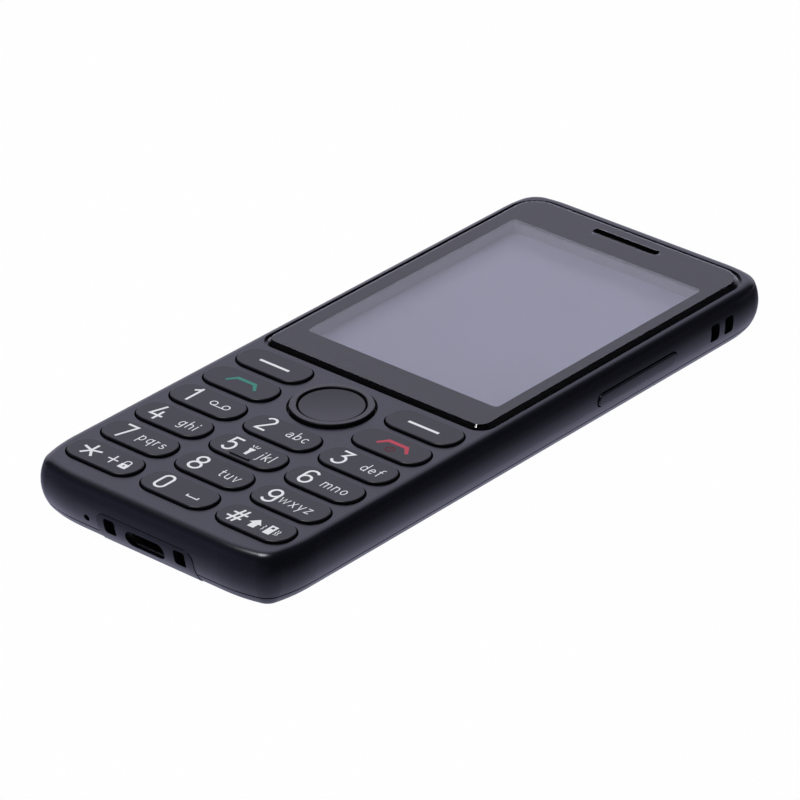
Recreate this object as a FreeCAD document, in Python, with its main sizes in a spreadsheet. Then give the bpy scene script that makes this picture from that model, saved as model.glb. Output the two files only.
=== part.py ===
import FreeCAD, Part
import math
import os

import Sketcher
from FreeCAD import Placement, Rotation, Vector

# A one-piece keypad phone lying on its back.
# Frame: origin in the middle of the footprint on the surface it lies on, +X to the
# phone's right, +Y towards the earpiece, +Z out of the screen. Millimetres.

doc = FreeCAD.newDocument("KeypadPhone")
sheet = doc.addObject("Spreadsheet::Sheet", "Sizes")
size_names = []
parts = []


class Size:
    """A length: its number, and the formula over the sheet's cells that gives it."""

    def __init__(self, number, formula):
        self.number = number
        self.formula = formula

    def __add__(self, other):
        other = as_size(other)
        return Size(self.number + other.number, f"({self.formula} + {other.formula})")

    def __radd__(self, other):
        return as_size(other) + self

    def __sub__(self, other):
        other = as_size(other)
        return Size(self.number - other.number, f"({self.formula} - {other.formula})")

    def __rsub__(self, other):
        return as_size(other) - self

    def __mul__(self, other):
        other = as_size(other)
        return Size(self.number * other.number, f"({self.formula} * {other.formula})")

    def __rmul__(self, other):
        return as_size(other) * self

    def __truediv__(self, other):
        other = as_size(other)
        return Size(self.number / other.number, f"({self.formula} / {other.formula})")

    def __neg__(self):
        return 0 - self


def as_size(value):
    """A Size as it is, or a plain number wrapped as one."""
    return value if isinstance(value, Size) else Size(float(value), f"({value})")


def size(name, number):
    """Enter one driving dimension in the sheet, and return it as a Size."""
    size_names.append(name)
    row = len(size_names)
    sheet.set(f"A{row}", name)
    sheet.set(f"B{row}", str(number))
    sheet.setAlias(f"B{row}", name)
    return Size(float(sheet.getContents(f"B{row}")), f"Sizes.{name}")


# ---------------------------------------------------------------- driving dimensions

# Outer form: two shells with one bulged side all round.
body_width = size("body_width", 57.5)
body_length = size("body_length", 138.6)
deck_height = size("deck_height", 10.4)
widest_height = size("widest_height", 6.0)
side_radius = size("side_radius", 8.6)
deck_edge_radius = size("deck_edge_radius", 1.8)
back_edge_radius = size("back_edge_radius", 0.9)
top_corner_radius = size("top_corner_radius", 5.5)
top_blend_radius = size("top_blend_radius", 26.0)
top_corner_run = size("top_corner_run", 9.8)
bottom_corner_radius = size("bottom_corner_radius", 4.6)
bottom_blend_radius = size("bottom_blend_radius", 28.0)
bottom_corner_run = size("bottom_corner_run", 12.0)

# Corner radius of the plain inner parts and their wells.
part_corner_radius = size("part_corner_radius", 1.0)

# Shell walls and the joint between the shells.
parting_height = size("parting_height", 2.1)
parting_gap = size("parting_gap", 0.28)
side_wall = size("side_wall", 2.2)
deck_wall = size("deck_wall", 1.2)
cover_floor = size("cover_floor", 1.0)
rim_band = size("rim_band", 3.2)
seat_gap = size("seat_gap", 0.05)

# Display lens, its adhesive and the display below it.
lens_side_margin = size("lens_side_margin", 3.66)
lens_top_margin = size("lens_top_margin", 4.235)
lens_to_keys = size("lens_to_keys", 2.915)
lens_thickness = size("lens_thickness", 1.0)
lens_proud = size("lens_proud", 0.55)
lens_bevel = size("lens_bevel", 0.7)
lens_high_radius = size("lens_high_radius", 4.5)
lens_low_radius = size("lens_low_radius", 2.0)
lens_gap = size("lens_gap", 0.65)
adhesive_thickness = size("adhesive_thickness", 0.1)
adhesive_margin = size("adhesive_margin", 0.5)
window_side_margin = size("window_side_margin", 2.89)
window_top_margin = size("window_top_margin", 8.91)
window_bottom_margin = size("window_bottom_margin", 7.51)
window_corner_radius = size("window_corner_radius", 1.0)
display_opening_margin = size("display_opening_margin", 0.3)
display_frame_wall = size("display_frame_wall", 1.5)
lcd_depth = size("lcd_depth", 2.9)
lcd_side_border = size("lcd_side_border", 2.0)
lcd_top_border = size("lcd_top_border", 1.8)
lcd_bottom_border = size("lcd_bottom_border", 5.6)
lcd_thickness = size("lcd_thickness", 0.9)
lcd_tray_thickness = size("lcd_tray_thickness", 0.4)
lcd_tray_lip = size("lcd_tray_lip", 0.25)

# Earpiece.
earpiece_inset = size("earpiece_inset", 3.265)
earpiece_slot_length = size("earpiece_slot_length", 15.2)
earpiece_slot_width = size("earpiece_slot_width", 1.8)
earpiece_mesh_gap = size("earpiece_mesh_gap", 0.12)
earpiece_mesh_thickness = size("earpiece_mesh_thickness", 0.2)
earpiece_duct_margin = size("earpiece_duct_margin", 0.35)
adhesive_slot_gap = size("adhesive_slot_gap", 0.15)
receiver_length = size("receiver_length", 12.0)
receiver_width = size("receiver_width", 5.6)
receiver_height = size("receiver_height", 2.2)

# Keypad.
key_side_margin = size("key_side_margin", 3.45)
key_end_margin = size("key_end_margin", 5.75)
column_space = size("column_space", 1.9)
row_space = size("row_space", 1.73)
key_width = size("key_width", 7.0)
key_corner_radius = size("key_corner_radius", 3.35)
key_proud = size("key_proud", 0.48)
key_edge_radius = size("key_edge_radius", 0.28)
key_gap = size("key_gap", 0.32)
key_flange_margin = size("key_flange_margin", 0.6)
key_flange_thickness = size("key_flange_thickness", 0.6)
key_flange_gap = size("key_flange_gap", 0.15)
key_travel = size("key_travel", 0.3)
key_stop_gap = size("key_stop_gap", 0.1)
key_post_radius = size("key_post_radius", 1.5)
key_post_gap = size("key_post_gap", 0.3)
locator_bar_length = size("locator_bar_length", 4.6)
locator_bar_width = size("locator_bar_width", 0.6)
locator_bar_height = size("locator_bar_height", 0.2)
locator_bar_y = size("locator_bar_y", -2.35)

# Navigation ring and the key in its middle.
nav_below_first_row = size("nav_below_first_row", 4.5)
nav_outer_radius = size("nav_outer_radius", 7.56)
nav_inner_radius = size("nav_inner_radius", 6.3)
nav_proud = size("nav_proud", 0.66)
nav_gap = size("nav_gap", 0.5)
nav_chamfer = size("nav_chamfer", 0.14)
nav_flange_margin = size("nav_flange_margin", 1.0)
nav_flange_thickness = size("nav_flange_thickness", 0.5)
nav_tilt_gap = size("nav_tilt_gap", 0.3)
nav_skirt_wall = size("nav_skirt_wall", 0.48)
nav_carrier_gap = size("nav_carrier_gap", 0.55)
nav_carrier_thickness = size("nav_carrier_thickness", 0.25)
nav_carrier_bore = size("nav_carrier_bore", 4.2)
nav_post_circle = size("nav_post_circle", 7.2)
nav_post_radius = size("nav_post_radius", 0.9)
ok_radius = size("ok_radius", 6.0)
ok_below_ring = size("ok_below_ring", 0.28)
ok_dish_depth = size("ok_dish_depth", 0.2)
ok_dish_radius = size("ok_dish_radius", 80.0)
ok_flange_margin = size("ok_flange_margin", 0.6)

# Keypad mat and dome sheet.
mat_side_gap = size("mat_side_gap", 1.25)
mat_end_gap = size("mat_end_gap", 3.1)
mat_above_keys = size("mat_above_keys", 1.0)
mat_web = size("mat_web", 0.5)
mat_border = size("mat_border", 1.0)
mat_corner_radius = size("mat_corner_radius", 2.0)
dome_film = size("dome_film", 0.1)
dome_height = size("dome_height", 0.25)
dome_radius = size("dome_radius", 2.0)
nav_dome_radius = size("nav_dome_radius", 1.1)
dome_gap = size("dome_gap", 0.35)

# Board, rear frame and their screws.
board_height = size("board_height", 4.85)
board_thickness = size("board_thickness", 0.8)
board_inset = size("board_inset", 2.9)
frame_inset = size("frame_inset", 2.8)
frame_low = size("frame_low", 1.3)
top_screw_inset = size("top_screw_inset", 5.55)
top_screw_end = size("top_screw_end", 6.3)
middle_screw_inset = size("middle_screw_inset", 4.55)
middle_screw_above_mat = size("middle_screw_above_mat", 1.8)
bottom_screw_inset = size("bottom_screw_inset", 8.75)
bottom_screw_end = size("bottom_screw_end", 3.8)
screw_radius = size("screw_radius", 0.5)
screw_head_radius = size("screw_head_radius", 0.85)
screw_head_height = size("screw_head_height", 0.6)
screw_bite = size("screw_bite", 2.4)
screw_clearance = size("screw_clearance", 0.1)
boss_radius = size("boss_radius", 1.35)

# Battery, its contacts and the card holder.
battery_side_margin = size("battery_side_margin", 6.75)
battery_top_margin = size("battery_top_margin", 29.3)
battery_bottom_margin = size("battery_bottom_margin", 51.3)
battery_height = size("battery_height", 3.5)
battery_gap = size("battery_gap", 0.3)
contact_width = size("contact_width", 9.0)
contact_depth = size("contact_depth", 2.6)
contact_height = size("contact_height", 2.6)
card_holder_width = size("card_holder_width", 27.0)
card_holder_length = size("card_holder_length", 15.5)
card_holder_height = size("card_holder_height", 1.6)
card_holder_end = size("card_holder_end", 33.3)
card_slot_height = size("card_slot_height", 0.9)
card_holder_wall = size("card_holder_wall", 0.8)
low_window_margin = size("low_window_margin", 9.25)
low_window_end = size("low_window_end", 26.3)
low_window_length = size("low_window_length", 38.0)
high_window_margin = size("high_window_margin", 7.75)
high_window_end = size("high_window_end", 13.8)
high_window_length = size("high_window_length", 18.0)
end_notch_gap = size("end_notch_gap", 0.4)

# Shield cans.
can_height = size("can_height", 1.5)
can_wall = size("can_wall", 0.2)
can_end = size("can_end", 15.8)
can_length = size("can_length", 12.0)
can_side_gap = size("can_side_gap", 2.0)
can_middle_gap = size("can_middle_gap", 5.0)

# Bottom end: charging port, dock contacts, microphone and the cover's tongue.
port_height = size("port_height", 3.62)
port_mouth_width = size("port_mouth_width", 9.05)
port_mouth_height = size("port_mouth_height", 3.3)
port_shell_width = size("port_shell_width", 8.94)
port_shell_height = size("port_shell_height", 3.16)
port_shell_wall = size("port_shell_wall", 0.3)
port_shell_length = size("port_shell_length", 7.3)
port_relief_gap = size("port_relief_gap", 0.15)
port_tongue_width = size("port_tongue_width", 6.7)
port_tongue_thickness = size("port_tongue_thickness", 0.7)
port_tongue_setback = size("port_tongue_setback", 1.2)
dock_window_x = size("dock_window_x", 8.1)
dock_window_height = size("dock_window_height", 4.15)
dock_window_width = size("dock_window_width", 2.65)
dock_window_tall = size("dock_window_tall", 3.1)
dock_window_radius = size("dock_window_radius", 0.6)
dock_contact_margin = size("dock_contact_margin", 0.15)
dock_contact_length = size("dock_contact_length", 3.2)
microphone_beside_dock = size("microphone_beside_dock", 5.5)
microphone_height = size("microphone_height", 4.0)
microphone_hole_radius = size("microphone_hole_radius", 0.64)
microphone_width = size("microphone_width", 3.0)
microphone_length = size("microphone_length", 1.9)
microphone_thickness = size("microphone_thickness", 1.1)
cover_tongue_half_width = size("cover_tongue_half_width", 11.25)
cover_tongue_top = size("cover_tongue_top", 6.38)
cover_tongue_thickness = size("cover_tongue_thickness", 1.5)
cover_tongue_radius = size("cover_tongue_radius", 2.0)
cover_tongue_gap = size("cover_tongue_gap", 0.05)
cover_tongue_proud = size("cover_tongue_proud", 0.12)
cover_tongue_edge_radius = size("cover_tongue_edge_radius", 0.09)
end_opening_side_gap = size("end_opening_side_gap", 0.45)
end_opening_top_gap = size("end_opening_top_gap", 0.1)

# Cover clips and the rear openings.
clip_width = size("clip_width", 3.0)
clip_wall = size("clip_wall", 0.35)
clip_rise = size("clip_rise", 1.2)
clip_gap = size("clip_gap", 0.1)
clip_spacing = size("clip_spacing", 34.0)
rear_parts_end = size("rear_parts_end", 13.3)
rear_parts_gap = size("rear_parts_gap", 1.0)
camera_side = size("camera_side", 8.0)
camera_block_height = size("camera_block_height", 2.6)
camera_barrel_radius = size("camera_barrel_radius", 2.6)
camera_window_radius = size("camera_window_radius", 3.65)
camera_window_thickness = size("camera_window_thickness", 0.5)
camera_window_recess = size("camera_window_recess", 0.15)
camera_hole_radius = size("camera_hole_radius", 2.9)
window_seat_gap = size("window_seat_gap", 0.1)
torch_beside_camera = size("torch_beside_camera", 3.5)
torch_radius = size("torch_radius", 1.5)
torch_recess = size("torch_recess", 0.15)
speaker_width = size("speaker_width", 13.0)
speaker_length = size("speaker_length", 10.0)
speaker_height = size("speaker_height", 3.0)
speaker_slot_length = size("speaker_slot_length", 6.0)
speaker_slot_width = size("speaker_slot_width", 0.9)
speaker_slot_pitch = size("speaker_slot_pitch", 2.1)
motor_radius = size("motor_radius", 4.0)
motor_height = size("motor_height", 2.7)
antenna_length = size("antenna_length", 34.0)
antenna_width = size("antenna_width", 2.8)
antenna_thickness = size("antenna_thickness", 0.2)

# Right side: volume rocker and strap slots.
rocker_end = size("rocker_end", 40.1)
rocker_height = size("rocker_height", 5.45)
rocker_length = size("rocker_length", 22.4)
rocker_width = size("rocker_width", 2.3)
rocker_corner_radius = size("rocker_corner_radius", 1.1)
rocker_proud = size("rocker_proud", 0.3)
rocker_edge_radius = size("rocker_edge_radius", 0.25)
rocker_gap = size("rocker_gap", 0.3)
rocker_flange_gap = size("rocker_flange_gap", 0.3)
rocker_flange_thickness = size("rocker_flange_thickness", 0.4)
rocker_flange_margin = size("rocker_flange_margin", 0.6)
side_switch_gap = size("side_switch_gap", 0.3)
side_switch_thickness = size("side_switch_thickness", 0.3)
side_switch_spacing = size("side_switch_spacing", 14.0)
side_switch_end = size("side_switch_end", 2.5)
side_switch_dome_radius = size("side_switch_dome_radius", 1.0)
side_notch_gap = size("side_notch_gap", 0.3)
strap_end = size("strap_end", 15.3)
strap_slot_pitch = size("strap_slot_pitch", 4.1)
strap_slot_width = size("strap_slot_width", 2.5)
strap_slot_tall = size("strap_slot_tall", 3.4)
strap_slot_height = size("strap_slot_height", 5.65)
strap_slot_radius = size("strap_slot_radius", 0.55)

doc.recompute()

# Levels and places that follow from those sizes.
deck_underside = deck_height - deck_wall
lens_top = deck_height + lens_proud
lens_bottom = lens_top - lens_thickness
lens_seat = lens_bottom - adhesive_thickness
lcd_top = lens_bottom - lcd_depth
lcd_bottom = lcd_top - lcd_thickness
board_top = board_height + board_thickness
film_bottom = board_top + seat_gap
film_top = film_bottom + dome_film
dome_top = film_top + dome_height
post_bottom = dome_top + dome_gap
key_flange_top = deck_underside - key_flange_gap
key_flange_bottom = key_flange_top - key_flange_thickness
mat_top = key_flange_bottom - key_travel - key_stop_gap
half_width = body_width / 2
half_length = body_length / 2
bottom_end = -half_length
outside = 2.0  # how far outside the body a side sketch starts
slot_end = 0.48  # a slot's end radius over its width, just short of a half circle

key_length = (body_width - 2 * key_side_margin - 2 * column_space) / 3
column_pitch = key_length + column_space
row_pitch = key_width + row_space
last_row_y = bottom_end + key_end_margin + key_width / 2
first_row_y = last_row_y + 5 * row_pitch
nav_y = first_row_y - nav_below_first_row
mat_half_width = half_width - side_wall - mat_side_gap
mat_top_y = first_row_y + key_width / 2 + key_flange_margin + mat_above_keys
mat_bottom_y = bottom_end + side_wall + mat_end_gap

lens_face_width = body_width - 2 * lens_side_margin
lens_high_y = half_length - lens_top_margin
lens_low_y = first_row_y + key_width / 2 + lens_to_keys
lens_face_length = lens_high_y - lens_low_y
lens_centre_y = (lens_high_y + lens_low_y) / 2
earpiece_y = lens_high_y - earpiece_inset
window_width = lens_face_width - 2 * window_side_margin
window_high_y = lens_high_y - window_top_margin
window_low_y = lens_low_y + window_bottom_margin
window_length = window_high_y - window_low_y
window_centre_y = (window_high_y + window_low_y) / 2
lcd_width = window_width + 2 * lcd_side_border
lcd_length = window_length + lcd_top_border + lcd_bottom_border
lcd_y = window_centre_y + (lcd_top_border - lcd_bottom_border) / 2

battery_width = body_width - 2 * battery_side_margin
battery_length = body_length - battery_top_margin - battery_bottom_margin
battery_y = (battery_bottom_margin - battery_top_margin) / 2
card_holder_y = bottom_end + card_holder_end
can_y = bottom_end + can_end
can_width = half_width - low_window_margin - can_side_gap - can_middle_gap / 2
can_x = (can_middle_gap + can_width) / 2
port_front = bottom_end + cover_tongue_thickness + cover_tongue_gap + seat_gap
port_rear = port_front + port_shell_length
port_mouth_radius = port_mouth_height * slot_end
port_shell_radius = port_shell_height * slot_end
microphone_x = -(dock_window_x + microphone_beside_dock)
rear_parts_y = half_length - rear_parts_end
torch_x = camera_side / 2 + torch_beside_camera
speaker_x = -(half_width - high_window_margin - rear_parts_gap - speaker_width / 2)
motor_x = half_width - high_window_margin - rear_parts_gap - motor_radius
rocker_y = half_length - rocker_end
strap_slot_y = half_length - strap_end
flange_outer = half_width - side_wall - rocker_flange_gap
flange_inner = flange_outer - rocker_flange_thickness
switch_inner = flange_inner - side_switch_gap - 2 * side_switch_thickness


# ---------------------------------------------------------------- drawing helpers

def bind(item, property_name, value):
    """Tie a property of an object to a Size's formula."""
    item.setExpression(property_name, value.formula)


def new_part(label):
    """A PartDesign body for one physical piece."""
    body = doc.addObject("PartDesign::Body", label)
    body.Label = label
    parts.append(body)
    return body


def origin_plane(body, role):
    """One of a body's own three origin planes."""
    return [item for item in body.Origin.OriginFeatures if item.Role == role][0]


class Drawing:
    """A sketch on one of its body's origin planes, shifted along the plane's normal.

    On XZ_Plane the sketch's axes are X and Z and its normal is -Y; on YZ_Plane they
    are Y and Z and its normal is +X.
    """

    def __init__(self, body, name, level=0, plane="XY_Plane"):
        self.sketch = body.newObject("Sketcher::SketchObject", name)
        self.sketch.AttachmentSupport = [(origin_plane(body, plane), "")]
        self.sketch.MapMode = "FlatFace"
        self.shift = as_size(level)
        self.sketch.AttachmentOffset = Placement(Vector(0, 0, self.shift.number), Rotation())
        bind(self.sketch, "AttachmentOffset.Base.z", self.shift)

    def constrain(self, kind, *references):
        """Add a constraint; a Size as its last value is bound to the sheet."""
        if isinstance(references[-1], Size):
            value = references[-1]
            index = self.sketch.addConstraint(
                Sketcher.Constraint(kind, *references[:-1], value.number))
            self.sketch.setExpression(f"Constraints[{index}]", value.formula)
        else:
            self.sketch.addConstraint(Sketcher.Constraint(kind, *references))

    def line(self, start, end):
        segment = Part.LineSegment(Vector(*start, 0), Vector(*end, 0))
        return self.sketch.addGeometry(segment, False)

    def arc(self, centre, radius, first, last):
        circle = Part.Circle(Vector(*centre, 0), Vector(0, 0, 1), radius)
        return self.sketch.addGeometry(Part.ArcOfCircle(circle, first, last), False)

    def pin_x(self, item, point, value):
        self.constrain("DistanceX", -1, 1, item, point, as_size(value))

    def pin_y(self, item, point, value):
        self.constrain("DistanceY", -1, 1, item, point, as_size(value))

    def circle(self, x, y, radius):
        """A full circle about (x, y)."""
        x, y = as_size(x), as_size(y)
        shape = Part.Circle(Vector(x.number, y.number, 0), Vector(0, 0, 1), radius.number)
        item = self.sketch.addGeometry(shape, False)
        self.constrain("Radius", item, radius)
        self.pin_x(item, 3, x)
        self.pin_y(item, 3, y)

    def polygon(self, corners):
        """A closed outline of straight lines through the given corners, in order."""
        corners = [(as_size(x), as_size(y)) for x, y in corners]
        places = [(x.number, y.number) for x, y in corners]
        items = [self.line(places[i], places[(i + 1) % len(places)]) for i in range(len(places))]
        for i, item in enumerate(items):
            self.constrain("Coincident", item, 2, items[(i + 1) % len(items)], 1)
            self.pin_x(item, 1, corners[i][0])
            self.pin_y(item, 1, corners[i][1])

    def rounded_rectangle(self, x, y, width, height, radius, high_radius=None):
        """A rectangle centred on (x, y) with round corners; the two high ones may differ."""
        x, y, width, height = as_size(x), as_size(y), as_size(width), as_size(height)
        radius = as_size(radius)
        high_radius = radius if high_radius is None else high_radius
        left, right = x - width / 2, x + width / 2
        low, high = y - height / 2, y + height / 2
        x0, x1, y0, y1 = left.number, right.number, low.number, high.number
        r, q = radius.number, high_radius.number
        quarter = math.pi / 2
        south = self.line((x0 + r, y0), (x1 - r, y0))
        corner_se = self.arc((x1 - r, y0 + r), r, 3 * quarter, 4 * quarter)
        east = self.line((x1, y0 + r), (x1, y1 - q))
        corner_ne = self.arc((x1 - q, y1 - q), q, 0, quarter)
        north = self.line((x1 - q, y1), (x0 + q, y1))
        corner_nw = self.arc((x0 + q, y1 - q), q, quarter, 2 * quarter)
        west = self.line((x0, y1 - q), (x0, y0 + r))
        corner_sw = self.arc((x0 + r, y0 + r), r, 2 * quarter, 3 * quarter)
        loop = [south, corner_se, east, corner_ne, north, corner_nw, west, corner_sw]
        for i, item in enumerate(loop):
            self.constrain("Tangent", item, 2, loop[(i + 1) % 8], 1)
        for item in (south, north):
            self.constrain("Horizontal", item)
        for item in (east, west):
            self.constrain("Vertical", item)
        self.constrain("Equal", corner_se, corner_sw)
        self.constrain("Equal", corner_ne, corner_nw)
        self.constrain("Radius", corner_se, radius)
        self.constrain("Radius", corner_ne, high_radius)
        self.pin_x(west, 1, left)
        self.pin_x(east, 1, right)
        self.pin_y(south, 1, low)
        self.pin_y(north, 1, high)

    def box(self, x, y, width, height):
        """A plain rectangle centred on (x, y)."""
        x, y, width, height = as_size(x), as_size(y), as_size(width), as_size(height)
        self.polygon([
            (x - width / 2, y - height / 2), (x + width / 2, y - height / 2),
            (x + width / 2, y + height / 2), (x - width / 2, y + height / 2)])

    def phone_outline(self, inset=0):
        """The phone's plan outline, moved inwards by inset.

        Each corner is three tangent arcs: a wide blend off the side, the corner itself
        and a wide blend into the end. Seen from the sharp corner, the corner arc's
        centre is at (c, c), where c makes both blends tangent to it.
        """
        inset = as_size(inset)
        across, along = half_width - inset, half_length - inset
        shapes = {
            "top": [value - inset for value in (top_blend_radius, top_corner_radius, top_corner_run)],
            "bottom": [value - inset
                       for value in (bottom_blend_radius, bottom_corner_radius, bottom_corner_run)],
        }
        corners = [(1, 1, "top"), (-1, 1, "top"), (-1, -1, "bottom"), (1, -1, "bottom")]
        arcs = []
        for number, (side, end, name) in enumerate(corners):
            blend, radius, run = [value.number for value in shapes[name]]
            spread = (run + blend) ** 2 - 2 * (run ** 2 + blend ** 2 - (blend - radius) ** 2)
            middle = (run + blend - math.sqrt(spread)) / 2
            turn = math.atan2(run - middle, blend - middle)
            steps = [((blend, run), blend, 0.0, turn),
                     ((middle, middle), radius, turn, math.pi / 2 - turn),
                     ((run, blend), blend, math.pi / 2 - turn, math.pi / 2)]
            if number % 2:
                steps = [(centre, r, last, first) for centre, r, first, last in reversed(steps)]
            for (u, v), r, first, last in steps:
                centre = (side * (across.number - u), end * (along.number - v))
                start = math.atan2(end * math.sin(first), side * math.cos(first))
                stop = math.atan2(end * math.sin(last), side * math.cos(last))
                arcs.append((centre, r, start, stop + 2 * math.pi * (stop < start)))

        def on_arc(number, at_end):
            centre, r, start, stop = arcs[number % 12]
            angle = stop if at_end else start
            return (centre[0] + r * math.cos(angle), centre[1] + r * math.sin(angle))

        loop, blends, rounds = [], {"top": [], "bottom": []}, {"top": [], "bottom": []}
        for number, (side, end, name) in enumerate(corners):
            loop.append(self.line(on_arc(3 * number - 1, True), on_arc(3 * number, False)))
            items = [self.arc(*arcs[3 * number + step]) for step in range(3)]
            loop += items
            blends[name] += [items[0], items[2]]
            rounds[name].append(items[1])
        for i, item in enumerate(loop):
            self.constrain("Tangent", item, 2, loop[(i + 1) % 16], 1)
        right, top, left, bottom = loop[0], loop[4], loop[8], loop[12]
        for item in (right, left):
            self.constrain("Vertical", item)
        for item in (top, bottom):
            self.constrain("Horizontal", item)
        for name in ("top", "bottom"):
            for items, radius in ((blends[name], shapes[name][0]), (rounds[name], shapes[name][1])):
                for other in items[1:]:
                    self.constrain("Equal", items[0], other)
                self.constrain("Radius", items[0], radius)
        top_run, bottom_run = shapes["top"][2], shapes["bottom"][2]
        self.pin_x(right, 1, across)
        self.pin_y(right, 1, bottom_run - along)
        self.pin_y(right, 2, along - top_run)
        self.pin_y(top, 1, along)
        self.pin_x(top, 1, across - top_run)
        self.pin_x(top, 2, top_run - across)
        self.pin_x(left, 1, -across)
        self.pin_y(left, 1, along - top_run)
        self.pin_y(left, 2, bottom_run - along)
        self.pin_y(bottom, 1, -along)
        self.pin_x(bottom, 1, bottom_run - across)
        self.pin_x(bottom, 2, across - bottom_run)


def pad(body, name, drawing, length, down=False):
    """Add material from a sketch along its normal, or against it."""
    feature = body.newObject("PartDesign::Pad", name)
    feature.Profile = drawing.sketch
    feature.Reversed = down
    feature.Length = as_size(length).number
    bind(feature, "Length", as_size(length))
    doc.recompute()
    return feature


def cut(body, name, drawing, depth, along_normal=False):
    """Remove material from a sketch against its normal, or along it."""
    before = body.Shape.Volume
    feature = body.newObject("PartDesign::Pocket", name)
    feature.Profile = drawing.sketch
    feature.Reversed = along_normal
    feature.Length = as_size(depth).number
    bind(feature, "Length", as_size(depth))
    doc.recompute()
    if not body.Shape.Volume < before - 1e-6:
        raise RuntimeError(f"{body.Label}: {name} cuts nothing")
    return feature


def revolve(body, name, drawing):
    """Turn a sketch on XZ_Plane a full turn about the body's Z axis."""
    feature = body.newObject("PartDesign::Revolution", name)
    feature.Profile = drawing.sketch
    feature.ReferenceAxis = (drawing.sketch, ["V_Axis"])
    feature.Angle = 360
    doc.recompute()
    return feature


def round_edges(body, name, radius, chosen):
    """Fillet the edges of the body's last feature whose three sample points pass a test."""
    tip = body.Tip
    names = []
    for number, edge in enumerate(tip.Shape.Edges, 1):
        first, last = edge.ParameterRange
        samples = [edge.valueAt(value) for value in (first, (first + last) / 2, last)]
        if all(chosen(point) for point in samples):
            names.append(f"Edge{number}")
    feature = body.newObject("PartDesign::Fillet", name)
    feature.Base = (tip, names)
    feature.Radius = radius.number
    bind(feature, "Radius", radius)
    doc.recompute()
    return feature


def block(label, x, y, low, width, length, height, radius=None, high_radius=None):
    """A flat block centred on (x, y), standing on the level low."""
    body = new_part(label)
    drawing = Drawing(body, label + "_plan", low)
    if radius is None:
        drawing.box(x, y, width, length)
    else:
        drawing.rounded_rectangle(x, y, width, length, radius, high_radius)
    pad(body, label + "_block", drawing, height)
    return body


def sweep_rim(body, name, profile):
    """Carry a section of the wall, drawn at the start of the outline, round the phone."""
    spine = Drawing(body, name + "_path")
    spine.phone_outline()
    doc.recompute()
    feature = body.newObject("PartDesign::AdditivePipe", name)
    feature.Profile = profile.sketch
    feature.Spine = (spine.sketch, [""])
    feature.Mode = "Frenet"
    doc.recompute()
    return feature


# The wall's outer side is one arc about this centre, blended into the flat faces.
side_centre_x = half_width - side_radius
section_plane = half_length - bottom_corner_run


def side_edge(level):
    """How far out the side arc lies at a level, as a number."""
    drop = level.number - widest_height.number
    return side_centre_x.number + math.sqrt(side_radius.number ** 2 - drop ** 2)


def blend_centre(flat, radius):
    """The centre of the blend between a flat face and the side arc, as numbers."""
    inwards = 1 if flat.number > widest_height.number else -1
    level = flat.number - inwards * radius.number
    reach = side_radius.number - radius.number
    return (side_centre_x.number + math.sqrt(reach ** 2 - (level - widest_height.number) ** 2), level)


# ---------------------------------------------------------------- front housing

def draw_housing_section(drawing):
    """The housing's wall: parting face, side arc, deck blend, deck and inner face."""
    low, high = parting_height, deck_height
    inner = half_width - rim_band
    blend_x, blend_z = blend_centre(high, deck_edge_radius)
    meet = math.atan2(blend_z - widest_height.number, blend_x - side_centre_x.number)
    start = math.atan2(low.number - widest_height.number, side_edge(low) - side_centre_x.number)
    side_centre = (side_centre_x.number, widest_height.number)
    parting = drawing.line((inner.number, low.number), (side_edge(low), low.number))
    side = drawing.arc(side_centre, side_radius.number, start, meet)
    blend = drawing.arc((blend_x, blend_z), deck_edge_radius.number, meet, math.pi / 2)
    deck = drawing.line((blend_x, high.number), (inner.number, high.number))
    inside = drawing.line((inner.number, high.number), (inner.number, low.number))
    drawing.constrain("Coincident", parting, 2, side, 1)
    drawing.constrain("Tangent", side, 2, blend, 1)
    drawing.constrain("Tangent", blend, 2, deck, 1)
    drawing.constrain("Coincident", deck, 2, inside, 1)
    drawing.constrain("Coincident", inside, 2, parting, 1)
    drawing.constrain("Horizontal", parting)
    drawing.constrain("Horizontal", deck)
    drawing.constrain("Vertical", inside)
    drawing.constrain("Radius", side, side_radius)
    drawing.constrain("Radius", blend, deck_edge_radius)
    drawing.pin_x(side, 3, side_centre_x)
    drawing.pin_y(side, 3, widest_height)
    drawing.pin_y(parting, 1, low)
    drawing.pin_y(deck, 2, high)
    drawing.pin_x(inside, 1, inner)


screw_places = [(sign * x, y) for x, y in (
    (half_width - top_screw_inset, half_length - top_screw_end),
    (half_width - middle_screw_inset, mat_top_y + middle_screw_above_mat),
    (half_width - bottom_screw_inset, bottom_end + bottom_screw_end)) for sign in (-1, 1)]

# Column and row of every key, counted from the middle column and the top row.
key_places = {"key_soft_left": (-1, 0), "key_soft_right": (1, 0),
              "key_call": (-1, 1), "key_end": (1, 1)}
for digit in range(1, 10):
    key_places[f"key_{digit}"] = ((digit - 1) % 3 - 1, 2 + (digit - 1) // 3)
key_places.update({"key_star": (-1, 5), "key_0": (0, 5), "key_hash": (1, 5)})


def key_position(label):
    column, row = key_places[label]
    return column_pitch * column, first_row_y - row_pitch * row


housing = new_part("front_housing")
section = Drawing(housing, "housing_section", section_plane, "XZ_Plane")
draw_housing_section(section)
sweep_rim(housing, "housing_rim", section)

core = Drawing(housing, "housing_core", parting_height)
core.phone_outline(rim_band)
pad(housing, "housing_deck", core, deck_height - parting_height)

cavity = Drawing(housing, "cavity_plan", parting_height)
cavity.phone_outline(side_wall)
cut(housing, "cavity", cavity, deck_underside - parting_height, along_normal=True)

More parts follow.
